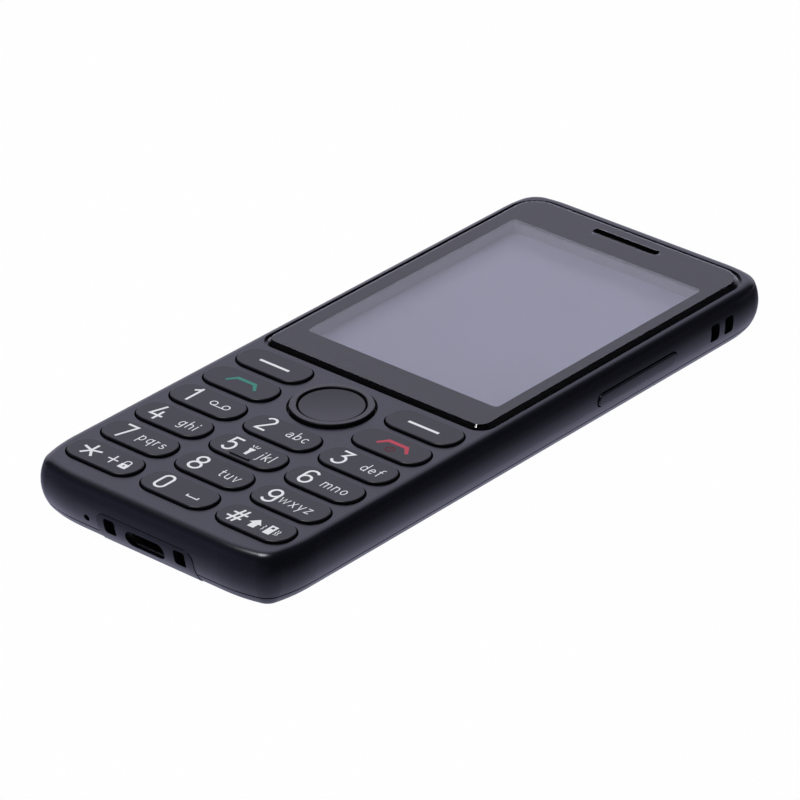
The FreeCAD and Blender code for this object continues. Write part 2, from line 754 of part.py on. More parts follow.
lens_outer_width = lens_face_width + 2 * lens_bevel
lens_outer_length = lens_face_length + 2 * lens_bevel
lens_outer_radii = (lens_low_radius + lens_bevel, lens_high_radius + lens_bevel)
recess = Drawing(housing, "lens_recess_plan", lens_seat)
recess.rounded_rectangle(0, lens_centre_y, lens_outer_width + 2 * lens_gap,
                         lens_outer_length + 2 * lens_gap,
                         *[radius + lens_gap for radius in lens_outer_radii])
cut(housing, "lens_recess", recess, deck_height - lens_seat, along_normal=True)

opening_width = window_width + 2 * display_opening_margin
opening_length = window_length + 2 * display_opening_margin
opening_radius = window_corner_radius + display_opening_margin
opening = Drawing(housing, "display_opening_plan", lens_seat)
opening.rounded_rectangle(0, window_centre_y, opening_width, opening_length, opening_radius)
cut(housing, "display_opening", opening, lens_seat - deck_underside)

duct_length = earpiece_slot_length - 2 * earpiece_duct_margin
duct_width = earpiece_slot_width - 2 * earpiece_duct_margin
duct = Drawing(housing, "earpiece_duct_plan", lens_seat)
duct.rounded_rectangle(0, earpiece_y, duct_length, duct_width, duct_width * slot_end)
cut(housing, "earpiece_duct", duct, lens_seat - deck_underside)

for label in key_places:
    key_x, key_y = key_position(label)
    hole = Drawing(housing, label + "_opening_plan", deck_height)
    hole.rounded_rectangle(key_x, key_y, key_length + 2 * key_gap, key_width + 2 * key_gap,
                           key_corner_radius + key_gap)
    cut(housing, label + "_opening", hole, deck_wall)

nav_hole = Drawing(housing, "nav_opening_plan", deck_height)
nav_hole.circle(0, nav_y, nav_outer_radius + nav_gap)
cut(housing, "nav_opening", nav_hole, deck_wall)

bosses = Drawing(housing, "boss_plan", board_top + seat_gap)
for x, y in screw_places:
    bosses.circle(x, y, boss_radius)
pad(housing, "bosses", bosses, deck_underside - board_top - seat_gap)
boss_holes = Drawing(housing, "boss_hole_plan", board_top)
for x, y in screw_places:
    boss_holes.circle(x, y, screw_radius + seat_gap)
cut(housing, "boss_holes", boss_holes, screw_bite + 2 * seat_gap, along_normal=True)

# The volume rocker's opening and the two strap slots go through the right wall.
wall_depth = side_wall + outside
rocker_hole = Drawing(housing, "rocker_opening_plan", half_width + outside, "YZ_Plane")
rocker_hole.rounded_rectangle(rocker_y, rocker_height, rocker_length + 2 * rocker_gap,
                              rocker_width + 2 * rocker_gap, rocker_corner_radius + rocker_gap)
cut(housing, "rocker_opening", rocker_hole, wall_depth)
for side in (-1, 1):
    slot = Drawing(housing, f"strap_slot_plan_{side}", half_width + outside, "YZ_Plane")
    slot.rounded_rectangle(strap_slot_y + strap_slot_pitch / 2 * side, strap_slot_height,
                           strap_slot_width, strap_slot_tall, strap_slot_radius)
    cut(housing, f"strap_slot_{side}", slot, wall_depth)

# The bottom end takes the cover's tongue, and is open behind it for the port.
tongue_seat = Drawing(housing, "tongue_seat_plan", half_length + outside, "XZ_Plane")
tongue_seat.rounded_rectangle(0, parting_height, 2 * (cover_tongue_half_width + cover_tongue_gap),
                              2 * (cover_tongue_top + cover_tongue_gap - parting_height),
                              cover_tongue_radius + cover_tongue_gap)
cut(housing, "tongue_seat", tongue_seat, cover_tongue_thickness + cover_tongue_gap + outside)
end_opening = Drawing(housing, "end_opening_plan", half_length + outside, "XZ_Plane")
end_opening_top = dock_window_height + dock_window_tall / 2 + end_opening_top_gap
end_opening.box(0, end_opening_top / 2,
                2 * (dock_window_x + dock_window_width / 2 + end_opening_side_gap), end_opening_top)
cut(housing, "end_opening", end_opening, wall_depth)
sound_hole = Drawing(housing, "microphone_hole_plan", half_length + outside, "XZ_Plane")
sound_hole.circle(microphone_x, microphone_height, microphone_hole_radius)
cut(housing, "microphone_hole", sound_hole, wall_depth)


# ---------------------------------------------------------------- back cover

cover_top = parting_height - parting_gap


def draw_cover_section(drawing):
    """The cover's edge: back face, back blend, side arc, parting face and inner face."""
    inner = half_width - rim_band
    blend_x, blend_z = blend_centre(as_size(0), back_edge_radius)
    meet = math.atan2(blend_z - widest_height.number, blend_x - side_centre_x.number)
    stop = math.atan2(cover_top.number - widest_height.number,
                      side_edge(cover_top) - side_centre_x.number)
    side_centre = (side_centre_x.number, widest_height.number)
    back = drawing.line((inner.number, 0), (blend_x, 0))
    blend = drawing.arc((blend_x, blend_z), back_edge_radius.number, -math.pi / 2, meet)
    side = drawing.arc(side_centre, side_radius.number, meet, stop)
    parting = drawing.line((side_edge(cover_top), cover_top.number), (inner.number, cover_top.number))
    inside = drawing.line((inner.number, cover_top.number), (inner.number, 0))
    drawing.constrain("Tangent", back, 2, blend, 1)
    drawing.constrain("Tangent", blend, 2, side, 1)
    drawing.constrain("Coincident", side, 2, parting, 1)
    drawing.constrain("Coincident", parting, 2, inside, 1)
    drawing.constrain("Coincident", inside, 2, back, 1)
    drawing.constrain("Horizontal", back)
    drawing.constrain("Horizontal", parting)
    drawing.constrain("Vertical", inside)
    drawing.constrain("Radius", side, side_radius)
    drawing.constrain("Radius", blend, back_edge_radius)
    drawing.pin_x(side, 3, side_centre_x)
    drawing.pin_y(side, 3, widest_height)
    drawing.pin_y(back, 1, 0)
    drawing.pin_y(parting, 2, cover_top)
    drawing.pin_x(inside, 1, inner)


cover = new_part("back_cover")
section = Drawing(cover, "cover_section", section_plane, "XZ_Plane")
draw_cover_section(section)
sweep_rim(cover, "cover_rim", section)
core = Drawing(cover, "cover_core")
core.phone_outline(rim_band)
pad(cover, "cover_plate", core, cover_top)
# The tongue rises from the cover's end wall. Its skin keeps an even step proud of the wall's
# own arc and blend, and the rest of its section lies within the wall.
tongue_section = Drawing(cover, "tongue_section", -cover_tongue_half_width, "YZ_Plane")
tongue_centre = (side_radius - half_length, widest_height)
tongue_inner = cover_tongue_thickness - half_length
tongue_root = rim_band - half_length
skin_radius = side_radius + cover_tongue_proud
heel_radius = back_edge_radius + cover_tongue_proud
heel_x, heel_z = blend_centre(as_size(0), back_edge_radius)
heel_reach = heel_x - side_centre_x.number
heel_y = tongue_centre[0].number - heel_reach
crest_rise = cover_tongue_top.number - widest_height.number
skin_start = math.pi - math.asin(crest_rise / skin_radius.number)
skin_stop = math.pi - math.atan2(heel_z - widest_height.number, heel_reach)
heel_stop = math.pi + math.asin(heel_z / heel_radius.number)
crest_y = tongue_centre[0].number + skin_radius.number * math.cos(skin_start)
toe_y = heel_y + heel_radius.number * math.cos(heel_stop)
inner, root, top, step = [value.number for value in (tongue_inner, tongue_root, cover_tongue_top,
                                                     cover_top)]
skin = tongue_section.arc((tongue_centre[0].number, tongue_centre[1].number), skin_radius.number,
                          skin_start, skin_stop)
heel = tongue_section.arc((heel_y, heel_z), heel_radius.number, skin_stop, heel_stop)
foot = tongue_section.line((toe_y, 0), (root, 0))
rise = tongue_section.line((root, 0), (root, step))
ledge = tongue_section.line((root, step), (inner, step))
back_face = tongue_section.line((inner, step), (inner, top))
crest = tongue_section.line((inner, top), (crest_y, top))
tongue_section.constrain("Tangent", skin, 2, heel, 1)
for item, follower in ((heel, foot), (foot, rise), (rise, ledge), (ledge, back_face),
                       (back_face, crest), (crest, skin)):
    tongue_section.constrain("Coincident", item, 2, follower, 1)
for item in (foot, ledge, crest):
    tongue_section.constrain("Horizontal", item)
for item in (rise, back_face):
    tongue_section.constrain("Vertical", item)
tongue_section.constrain("Radius", skin, skin_radius)
tongue_section.constrain("Radius", heel, heel_radius)
tongue_section.pin_x(skin, 3, tongue_centre[0])
tongue_section.pin_y(skin, 3, tongue_centre[1])
tongue_section.pin_y(heel, 3, back_edge_radius)
tongue_section.pin_y(foot, 1, 0)
tongue_section.pin_x(rise, 1, tongue_root)
tongue_section.pin_y(ledge, 1, cover_top)
tongue_section.pin_x(back_face, 1, tongue_inner)
tongue_section.pin_y(crest, 1, cover_tongue_top)
pad(cover, "tongue", tongue_section, 2 * cover_tongue_half_width)
round_edges(cover, "tongue_corners", cover_tongue_radius,
            lambda point: abs(abs(point.x) - cover_tongue_half_width.number) < 0.01
            and abs(point.z - cover_tongue_top.number) < 0.01)


def on_tongue_rim(point):
    """Whether a point is on the skin's edge along the crest or down either side."""
    from_skin = math.hypot(point.y - tongue_centre[0].number, point.z - tongue_centre[1].number)
    from_heel = math.hypot(point.y - heel_y, point.z - heel_z)
    on_skin = (abs(from_skin - skin_radius.number) < 0.001
               or abs(from_heel - heel_radius.number) < 0.001)
    beside = abs(point.x) > (cover_tongue_half_width - cover_tongue_radius).number - 0.01
    return on_skin and (beside or point.z > widest_height.number)


round_edges(cover, "tongue_rim", cover_tongue_edge_radius, on_tongue_rim)

hollow = Drawing(cover, "cover_hollow_plan", cover_floor)
hollow.phone_outline(side_wall)
cut(cover, "cover_hollow", hollow, cover_top - cover_floor, along_normal=True)

# The cover's edge dips under the port's shell.
relief_low = port_height - port_shell_height / 2 - port_relief_gap
relief = Drawing(cover, "port_relief_plan", relief_low)
relief.box(0, (port_front + port_rear) / 2 - port_relief_gap, port_shell_width + 2 * port_relief_gap,
           port_shell_length)
cut(cover, "port_relief", relief, cover_top - relief_low, along_normal=True)

mouth = Drawing(cover, "port_mouth_plan", half_length + outside, "XZ_Plane")
mouth.rounded_rectangle(0, port_height, port_mouth_width, port_mouth_height, port_mouth_radius)
cut(cover, "port_mouth", mouth, cover_tongue_thickness + outside + seat_gap)
for side in (-1, 1):
    window = Drawing(cover, f"dock_window_plan_{side}", half_length + outside, "XZ_Plane")
    window.rounded_rectangle(dock_window_x * side, dock_window_height, dock_window_width,
                             dock_window_tall, dock_window_radius)
    cut(cover, f"dock_window_{side}", window, cover_tongue_thickness + outside + seat_gap)

# Clips along both sides reach up inside the housing's wall.
clip_x = half_width - side_wall - clip_gap - clip_wall / 2
for side in (-1, 1):
    for step in (-1, 0, 1):
        clip = Drawing(cover, f"clip_plan_{side}_{step}", cover_floor)
        clip.box(clip_x * side, clip_spacing * step, clip_wall, clip_width)
        pad(cover, f"clip_{side}_{step}", clip, cover_top - cover_floor + clip_rise)

camera_seat = Drawing(cover, "camera_seat_plan")
camera_seat.circle(0, rear_parts_y, camera_window_radius + window_seat_gap)
cut(cover, "camera_seat", camera_seat, camera_window_recess + camera_window_thickness + seat_gap,
    along_normal=True)
camera_hole = Drawing(cover, "camera_hole_plan")
camera_hole.circle(0, rear_parts_y, camera_hole_radius)
cut(cover, "camera_hole", camera_hole, cover_floor, along_normal=True)
torch_hole = Drawing(cover, "torch_hole_plan")
torch_hole.circle(torch_x, rear_parts_y, torch_radius + window_seat_gap)
cut(cover, "torch_hole", torch_hole, cover_floor, along_normal=True)
for step in range(-2, 3):
    slot = Drawing(cover, f"speaker_slot_plan_{step}")
    slot.rounded_rectangle(speaker_x + speaker_slot_pitch * step, rear_parts_y, speaker_slot_width,
                           speaker_slot_length, speaker_slot_width * slot_end)
    cut(cover, f"speaker_slot_{step}", slot, cover_floor, along_normal=True)


# ---------------------------------------------------------------- display

lens = new_part("display_lens")
lens_foot = Drawing(lens, "lens_foot_plan", lens_bottom)
lens_foot.rounded_rectangle(0, lens_centre_y, lens_outer_width, lens_outer_length, *lens_outer_radii)
pad(lens, "lens_foot", lens_foot, deck_height - lens_bottom)
bevel_low = Drawing(lens, "bevel_low_plan", deck_height)
bevel_low.rounded_rectangle(0, lens_centre_y, lens_outer_width, lens_outer_length, *lens_outer_radii)
bevel_high = Drawing(lens, "bevel_high_plan", lens_top)
bevel_high.rounded_rectangle(0, lens_centre_y, lens_face_width, lens_face_length, lens_low_radius,
                             lens_high_radius)
bevel = lens.newObject("PartDesign::AdditiveLoft", "lens_bevel_loft")
bevel.Profile = bevel_low.sketch
bevel.Sections = [(bevel_high.sketch, [""])]
bevel.Ruled = True
doc.recompute()
lens_slot = Drawing(lens, "lens_slot_plan", lens_top)
lens_slot.rounded_rectangle(0, earpiece_y, earpiece_slot_length, earpiece_slot_width,
                            earpiece_slot_width * slot_end)
cut(lens, "lens_slot", lens_slot, lens_thickness)

adhesive = block("lens_adhesive", 0, lens_centre_y, lens_seat, lens_outer_width - 2 * adhesive_margin,
                 lens_outer_length - 2 * adhesive_margin, adhesive_thickness,
                 *[radius - adhesive_margin for radius in lens_outer_radii])
adhesive_window = Drawing(adhesive, "adhesive_window_plan", lens_bottom)
adhesive_window.rounded_rectangle(0, window_centre_y, window_width, window_length, window_corner_radius)
cut(adhesive, "adhesive_window", adhesive_window, adhesive_thickness)
adhesive_slot = Drawing(adhesive, "adhesive_slot_plan", lens_bottom)
adhesive_slot_width = earpiece_slot_width + 2 * adhesive_slot_gap
adhesive_slot.rounded_rectangle(0, earpiece_y, earpiece_slot_length + 2 * adhesive_slot_gap,
                                adhesive_slot_width, adhesive_slot_width * slot_end)
cut(adhesive, "adhesive_slot", adhesive_slot, adhesive_thickness)

mesh_width = earpiece_slot_width - 2 * earpiece_mesh_gap
block("earpiece_mesh", 0, earpiece_y, lens_seat, earpiece_slot_length - 2 * earpiece_mesh_gap,
      mesh_width, earpiece_mesh_thickness, mesh_width * slot_end)
block("earpiece_receiver", 0, earpiece_y, deck_underside - seat_gap - receiver_height, receiver_length,
      receiver_width, receiver_height, part_corner_radius)

frame_height = deck_underside - lcd_top - 2 * seat_gap
display_frame = block("display_frame", 0, window_centre_y, lcd_top + seat_gap,
                      opening_width + 2 * display_frame_wall, opening_length + 2 * display_frame_wall,
                      frame_height, opening_radius + display_frame_wall)
frame_window = Drawing(display_frame, "frame_window_plan", lcd_top + seat_gap)
frame_window.rounded_rectangle(0, window_centre_y, opening_width, opening_length, opening_radius)
cut(display_frame, "frame_window", frame_window, frame_height, along_normal=True)

block("lcd_panel", 0, lcd_y, lcd_bottom, lcd_width - 2 * lcd_tray_lip - 2 * seat_gap,
      lcd_length - 2 * lcd_tray_lip - 2 * seat_gap, lcd_thickness)
tray_low = lcd_bottom - lcd_tray_thickness
tray = block("lcd_tray", 0, lcd_y, tray_low, lcd_width, lcd_length,
             lcd_tray_thickness + lcd_thickness / 2)
tray_hollow = Drawing(tray, "tray_hollow_plan", lcd_bottom)
tray_hollow.box(0, lcd_y, lcd_width - 2 * lcd_tray_lip, lcd_length - 2 * lcd_tray_lip)
cut(tray, "tray_hollow", tray_hollow, lcd_thickness / 2, along_normal=True)


# ---------------------------------------------------------------- keypad

for label in key_places:
    key = new_part(label)
    key_x, key_y = key_position(label)
    post = Drawing(key, label + "_post_plan", post_bottom)
    post.circle(0, 0, key_post_radius)
    pad(key, label + "_post", post, key_flange_bottom - post_bottom)
    flange = Drawing(key, label + "_flange_plan", key_flange_bottom)
    flange.rounded_rectangle(0, 0, key_length + 2 * key_flange_margin,
                             key_width + 2 * key_flange_margin,
                             key_corner_radius + key_flange_margin)
    pad(key, label + "_flange", flange, key_flange_thickness)
    crown = Drawing(key, label + "_crown_plan", key_flange_top)
    crown.rounded_rectangle(0, 0, key_length, key_width, key_corner_radius)
    pad(key, label + "_crown", crown, deck_height + key_proud - key_flange_top)
    key_top = deck_height + key_proud
    round_edges(key, label + "_edge", key_edge_radius,
                lambda point: abs(point.z - key_top.number) < 0.001)
    if label == "key_5":
        bar = Drawing(key, "locator_bar_plan", key_top)
        bar.rounded_rectangle(0, locator_bar_y, locator_bar_length, locator_bar_width,
                              locator_bar_width * slot_end)
        pad(key, "locator_bar", bar, locator_bar_height)
    bind(key, "Placement.Base.x", key_x)
    bind(key, "Placement.Base.y", key_y)

nav_top = deck_height + nav_proud
nav_flange_top = deck_underside - nav_tilt_gap
nav_flange_bottom = nav_flange_top - nav_flange_thickness
nav_flange_radius = nav_outer_radius + nav_flange_margin
nav_skirt_radius = nav_outer_radius - nav_skirt_wall
ok_flange_radius = ok_radius + ok_flange_margin
crown_bottom = key_flange_top + nav_tilt_gap

ring = new_part("nav_ring")
ring_section = Drawing(ring, "ring_section", 0, "XZ_Plane")
ring_section.polygon([
    (nav_inner_radius, crown_bottom),
    (nav_skirt_radius, crown_bottom),
    (nav_skirt_radius, nav_flange_bottom),
    (nav_flange_radius, nav_flange_bottom),
    (nav_flange_radius, nav_flange_top),
    (nav_outer_radius, nav_flange_top),
    (nav_outer_radius, nav_top - nav_chamfer),
    (nav_outer_radius - nav_chamfer, nav_top),
    (nav_inner_radius + nav_chamfer, nav_top),
    (nav_inner_radius, nav_top - nav_chamfer)])
revolve(ring, "ring_turned", ring_section)
bind(ring, "Placement.Base.y", nav_y)

carrier_top = nav_flange_bottom - nav_carrier_gap
carrier = new_part("nav_carrier")
carrier_plan = Drawing(carrier, "carrier_plan", carrier_top - nav_carrier_thickness)
carrier_plan.circle(0, 0, nav_flange_radius)
carrier_plan.circle(0, 0, nav_carrier_bore)
pad(carrier, "carrier_plate", carrier_plan, nav_carrier_thickness)
nav_posts = [(nav_post_circle, 0), (-nav_post_circle, 0), (0, nav_post_circle), (0, -nav_post_circle)]
carrier_posts = Drawing(carrier, "carrier_post_plan", post_bottom)
for x, y in nav_posts:
    carrier_posts.circle(x, y, nav_post_radius)
pad(carrier, "carrier_posts", carrier_posts, carrier_top - nav_carrier_thickness - post_bottom)
bind(carrier, "Placement.Base.y", nav_y)

ok_top = nav_top - ok_below_ring
ok_key = new_part("ok_key")
ok_section = Drawing(ok_key, "ok_section", 0, "XZ_Plane")
dish_centre_z = ok_top - ok_dish_depth + ok_dish_radius
brim = ok_radius - nav_chamfer
brim_drop = math.sqrt(ok_dish_radius.number ** 2 - brim.number ** 2)
brim_turn = 1.5 * math.pi + math.asin(brim.number / ok_dish_radius.number)
brim_z = dish_centre_z.number - brim_drop
ok_corners = [
    (0, post_bottom),
    (key_post_radius, post_bottom),
    (key_post_radius, key_flange_bottom),
    (ok_flange_radius, key_flange_bottom),
    (ok_flange_radius, key_flange_top),
    (ok_radius, key_flange_top),
    (ok_radius, ok_top - nav_chamfer)]
ok_corners = [(as_size(x), as_size(z)) for x, z in ok_corners]
ok_places = [(x.number, z.number) for x, z in ok_corners] + [(brim.number, brim_z)]
ok_lines = [ok_section.line(*ends) for ends in zip(ok_places, ok_places[1:])]
dish = ok_section.arc((0, dish_centre_z.number), ok_dish_radius.number, 1.5 * math.pi, brim_turn)
axis = ok_section.line((0, dish_centre_z.number - ok_dish_radius.number), (0, post_bottom.number))
for item, follower in zip(ok_lines, ok_lines[1:]):
    ok_section.constrain("Coincident", item, 2, follower, 1)
ok_section.constrain("Coincident", ok_lines[-1], 2, dish, 2)
ok_section.constrain("Coincident", dish, 1, axis, 1)
ok_section.constrain("Coincident", axis, 2, ok_lines[0], 1)
for item, (x, z) in zip(ok_lines, ok_corners):
    ok_section.pin_x(item, 1, x)
    ok_section.pin_y(item, 1, z)
ok_section.constrain("Radius", dish, ok_dish_radius)
ok_section.pin_x(dish, 3, 0)
ok_section.pin_y(dish, 3, dish_centre_z)
ok_section.pin_x(dish, 2, brim)
ok_section.constrain("Vertical", axis)
revolve(ok_key, "ok_turned", ok_section)
bind(ok_key, "Placement.Base.y", nav_y)

mat_length = mat_top_y - mat_bottom_y
mat_y = (mat_top_y + mat_bottom_y) / 2
mat_low = film_top + seat_gap
mat = block("keypad_mat", 0, mat_y, mat_low, 2 * mat_half_width, mat_length, mat_top - mat_low,
            mat_corner_radius)
mat_hollow = Drawing(mat, "mat_hollow_plan", mat_low)
mat_hollow.rounded_rectangle(0, mat_y, 2 * (mat_half_width - mat_border), mat_length - 2 * mat_border,
                             mat_corner_radius - mat_border)
cut(mat, "mat_hollow", mat_hollow, mat_top - mat_web - mat_low, along_normal=True)
mat_holes = Drawing(mat, "mat_hole_plan", mat_top)
for label in key_places:
    key_x, key_y = key_position(label)
    mat_holes.circle(key_x, key_y, key_post_radius + key_post_gap)
cut(mat, "mat_holes", mat_holes, mat_web)
nav_space = Drawing(mat, "nav_space_plan", mat_top)
nav_space.circle(0, nav_y, nav_flange_radius + nav_gap)
cut(mat, "nav_space", nav_space, mat_top - mat_low)

film = block("dome_sheet", 0, mat_y, film_bottom, 2 * mat_half_width, mat_length, dome_film,
             mat_corner_radius)
domes = Drawing(film, "dome_plan", film_top)
for label in key_places:
    key_x, key_y = key_position(label)
    domes.circle(key_x, key_y, dome_radius)
domes.circle(0, nav_y, dome_radius)
for x, y in nav_posts:
    domes.circle(x, nav_y + y, nav_dome_radius)
pad(film, "domes", domes, dome_height)


# ---------------------------------------------------------------- board and rear frame

board = new_part("main_board")
board_plan = Drawing(board, "board_plan", board_height)
board_plan.phone_outline(board_inset)
pad(board, "board_sheet", board_plan, board_thickness)
board_holes = Drawing(board, "board_hole_plan", board_height)
for x, y in screw_places:
    board_holes.circle(x, y, screw_radius + screw_clearance)
cut(board, "board_holes", board_holes, board_thickness, along_normal=True)

# The port's shell is sunk into a notch in the board's end.
notch_margin = 4 * seat_gap
notch_end = port_rear + notch_margin
port_notch = Drawing(board, "port_notch_plan", board_height)
port_notch.polygon([
    (-port_shell_width / 2 - notch_margin, bottom_end),
    (port_shell_width / 2 + notch_margin, bottom_end),
    (port_shell_width / 2 + notch_margin, notch_end),
    (-port_shell_width / 2 - notch_margin, notch_end)])
cut(board, "port_notch", port_notch, board_thickness, along_normal=True)


def cut_side_notch(body, low, height):
    """Make room for the rocker's flange and its switches in the right edge."""
    notch = Drawing(body, body.Label + "_side_notch_plan", low)
    notch.box(half_width, rocker_y, 2 * (half_width - switch_inner + side_notch_gap),
              rocker_length + 4 * rocker_flange_margin)
    cut(body, body.Label + "_side_notch", notch, height, along_normal=True)


cut_side_notch(board, board_height, board_thickness)

rear_frame = new_part("rear_frame")
frame_depth = board_height - seat_gap - frame_low
frame_plan = Drawing(rear_frame, "frame_plan", frame_low)
frame_plan.phone_outline(frame_inset)
pad(rear_frame, "frame_plate", frame_plan, frame_depth)
battery_well = Drawing(rear_frame, "battery_well_plan", frame_low)
battery_well.rounded_rectangle(0, battery_y, battery_width + 2 * battery_gap,
                               battery_length + 2 * battery_gap, part_corner_radius)
cut(rear_frame, "battery_well", battery_well, frame_depth, along_normal=True)
contact_y = battery_y + battery_length / 2 + battery_gap + contact_depth / 2
contact_notch = Drawing(rear_frame, "contact_notch_plan", frame_low)
contact_notch.box(0, contact_y, contact_width + 2 * battery_gap, contact_depth + 4 * battery_gap)
cut(rear_frame, "contact_notch", contact_notch, frame_depth, along_normal=True)
low_window_y = bottom_end + low_window_end
frame_windows = (("low", low_window_y, low_window_margin, low_window_length),
                 ("high", half_length - high_window_end, high_window_margin, high_window_length))
for name, y, margin, length in frame_windows:
    window = Drawing(rear_frame, f"window_{name}_plan", frame_low)
    window.rounded_rectangle(0, y, body_width - 2 * margin, length, part_corner_radius)
    cut(rear_frame, f"window_{name}", window, frame_depth, along_normal=True)
end_notch = Drawing(rear_frame, "end_notch_plan", frame_low)
notch_edge = microphone_width / 2 + end_notch_gap - microphone_x
end_notch.polygon([
    (-notch_edge, bottom_end), (notch_edge, bottom_end),
    (notch_edge, low_window_y), (-notch_edge, low_window_y)])
cut(rear_frame, "end_notch", end_notch, frame_depth, along_normal=True)
cut_side_notch(rear_frame, frame_low, frame_depth)
frame_holes = Drawing(rear_frame, "frame_hole_plan", frame_low)
for x, y in screw_places:
    frame_holes.circle(x, y, screw_radius + screw_clearance)
cut(rear_frame, "frame_holes", frame_holes, frame_depth, along_normal=True)
head_seats = Drawing(rear_frame, "head_seat_plan", frame_low)
for x, y in screw_places:
    head_seats.circle(x, y, screw_head_radius + screw_clearance)
cut(rear_frame, "head_seats", head_seats, screw_head_height + seat_gap, along_normal=True)

# Six screws of one kind, turned solids kept as one group.
head_low = frame_low + seat_gap
shank_low = head_low + screw_head_height
shank_length = board_top + screw_bite - shank_low
screws = []
for number, (x, y) in enumerate(screw_places):
    head = doc.addObject("Part::Cylinder", f"screw_head_{number}")
    shank = doc.addObject("Part::Cylinder", f"screw_shank_{number}")
    for piece, radius, low, length in ((head, screw_head_radius, head_low, screw_head_height),
                                       (shank, screw_radius, shank_low, shank_length)):
        bind(piece, "Radius", radius)
        bind(piece, "Height", length)
        bind(piece, "Placement.Base.x", x)
        bind(piece, "Placement.Base.y", y)
        bind(piece, "Placement.Base.z", low)
    screw = doc.addObject("Part::Fuse", f"screw_{number}")
    screw.Base = head
    screw.Tool = shank
    screws.append(screw)
frame_screws = doc.addObject("Part::Compound", "frame_screws")
frame_screws.Label = "frame_screws"
frame_screws.Links = screws
parts.append(frame_screws)


# ---------------------------------------------------------------- parts on the board

board_underside = board_height - seat_gap
battery_low = cover_floor + 2 * seat_gap
block("battery", 0, battery_y, battery_low, battery_width, battery_length, battery_height,
      part_corner_radius)
block("battery_contacts", 0, contact_y, board_underside - contact_height, contact_width, contact_depth,
      contact_height)

card_holder = block("card_holder", 0, card_holder_y, board_underside - card_holder_height,
                    card_holder_width, card_holder_length, card_holder_height)
card_slot = Drawing(card_holder, "card_slot_plan", board_underside)
card_slot.box(0, card_holder_y + card_holder_wall, card_holder_width - 2 * card_holder_wall,
              card_holder_length)
cut(card_holder, "card_slot", card_slot, card_slot_height)

for label, x in (("processor_shield", -can_x), ("radio_shield", can_x)):
    can = block(label, x, can_y, board_underside - can_height, can_width, can_length, can_height)
    can_hollow = Drawing(can, label + "_hollow_plan", board_underside)
    can_hollow.box(x, can_y, can_width - 2 * can_wall, can_length - 2 * can_wall)
    cut(can, label + "_hollow", can_hollow, can_height - can_wall)

port_shell = new_part("usb_shell")
shell_plan = Drawing(port_shell, "shell_plan", -port_front, "XZ_Plane")
shell_plan.rounded_rectangle(0, port_height, port_shell_width, port_shell_height, port_shell_radius)
pad(port_shell, "shell_tube", shell_plan, port_shell_length, down=True)
shell_bore = Drawing(port_shell, "shell_bore_plan", -port_front, "XZ_Plane")
shell_bore.rounded_rectangle(0, port_height, port_shell_width - 2 * port_shell_wall,
                             port_shell_height - 2 * port_shell_wall,
                             port_shell_radius - port_shell_wall)
cut(port_shell, "shell_bore", shell_bore, port_shell_length - port_shell_wall)

port_tongue = new_part("usb_tongue")
port_tongue_plan = Drawing(port_tongue, "port_tongue_plan", -port_front - port_tongue_setback,
                           "XZ_Plane")
port_tongue_plan.box(0, port_height, port_tongue_width, port_tongue_thickness)
pad(port_tongue, "tongue_blade", port_tongue_plan,
    port_shell_length - port_tongue_setback - port_shell_wall - seat_gap, down=True)

dock_contacts = []
for side in (-1, 1):
    contact = doc.addObject("Part::Box", f"dock_contact_{side}".replace("-", "m"))
    width = dock_window_width - 2 * dock_contact_margin
    bind(contact, "Length", width)
    bind(contact, "Width", dock_contact_length)
    bind(contact, "Height", board_underside - dock_window_height + dock_window_tall / 2
         - dock_contact_margin)
    bind(contact, "Placement.Base.x", dock_window_x * side - width / 2)
    bind(contact, "Placement.Base.y", port_front + seat_gap)
    bind(contact, "Placement.Base.z", dock_window_height - dock_window_tall / 2 + dock_contact_margin)
    dock_contacts.append(contact)
dock_group = doc.addObject("Part::Compound", "dock_contacts")
dock_group.Label = "dock_contacts"
dock_group.Links = dock_contacts
parts.append(dock_group)

block("microphone", microphone_x, side_wall + 2 * seat_gap + microphone_length / 2 - half_length,
      board_underside - microphone_thickness, microphone_width, microphone_length, microphone_thickness)
block("loudspeaker", speaker_x, rear_parts_y, board_underside - speaker_height, speaker_width,
      speaker_length, speaker_height, part_corner_radius)

motor = new_part("vibration_motor")
motor_plan = Drawing(motor, "motor_plan", board_underside - motor_height)
motor_plan.circle(motor_x, rear_parts_y, motor_radius)
pad(motor, "motor_can", motor_plan, motor_height)

camera_low = cover_floor + 2 * seat_gap
camera = block("camera_module", 0, rear_parts_y, board_underside - camera_block_height, camera_side,
               camera_side, camera_block_height)
barrel = Drawing(camera, "barrel_plan", camera_low)
barrel.circle(0, rear_parts_y, camera_barrel_radius)
pad(camera, "barrel", barrel, board_underside - camera_block_height - camera_low)

camera_window = new_part("camera_window")
camera_window_plan = Drawing(camera_window, "camera_window_plan", camera_window_recess)
camera_window_plan.circle(0, rear_parts_y, camera_window_radius)
pad(camera_window, "window_disc", camera_window_plan, camera_window_thickness)

torch = new_part("torch_light")
torch_plan = Drawing(torch, "torch_plan", torch_recess)
torch_plan.circle(torch_x, rear_parts_y, torch_radius)
pad(torch, "torch_pipe", torch_plan, board_underside - torch_recess)

antenna_y = half_length - side_wall - seat_gap - antenna_thickness / 2
block("antenna_flex", 0, antenna_y, deck_underside - seat_gap - antenna_width, antenna_length,
      antenna_thickness, antenna_width)


# ---------------------------------------------------------------- side keys

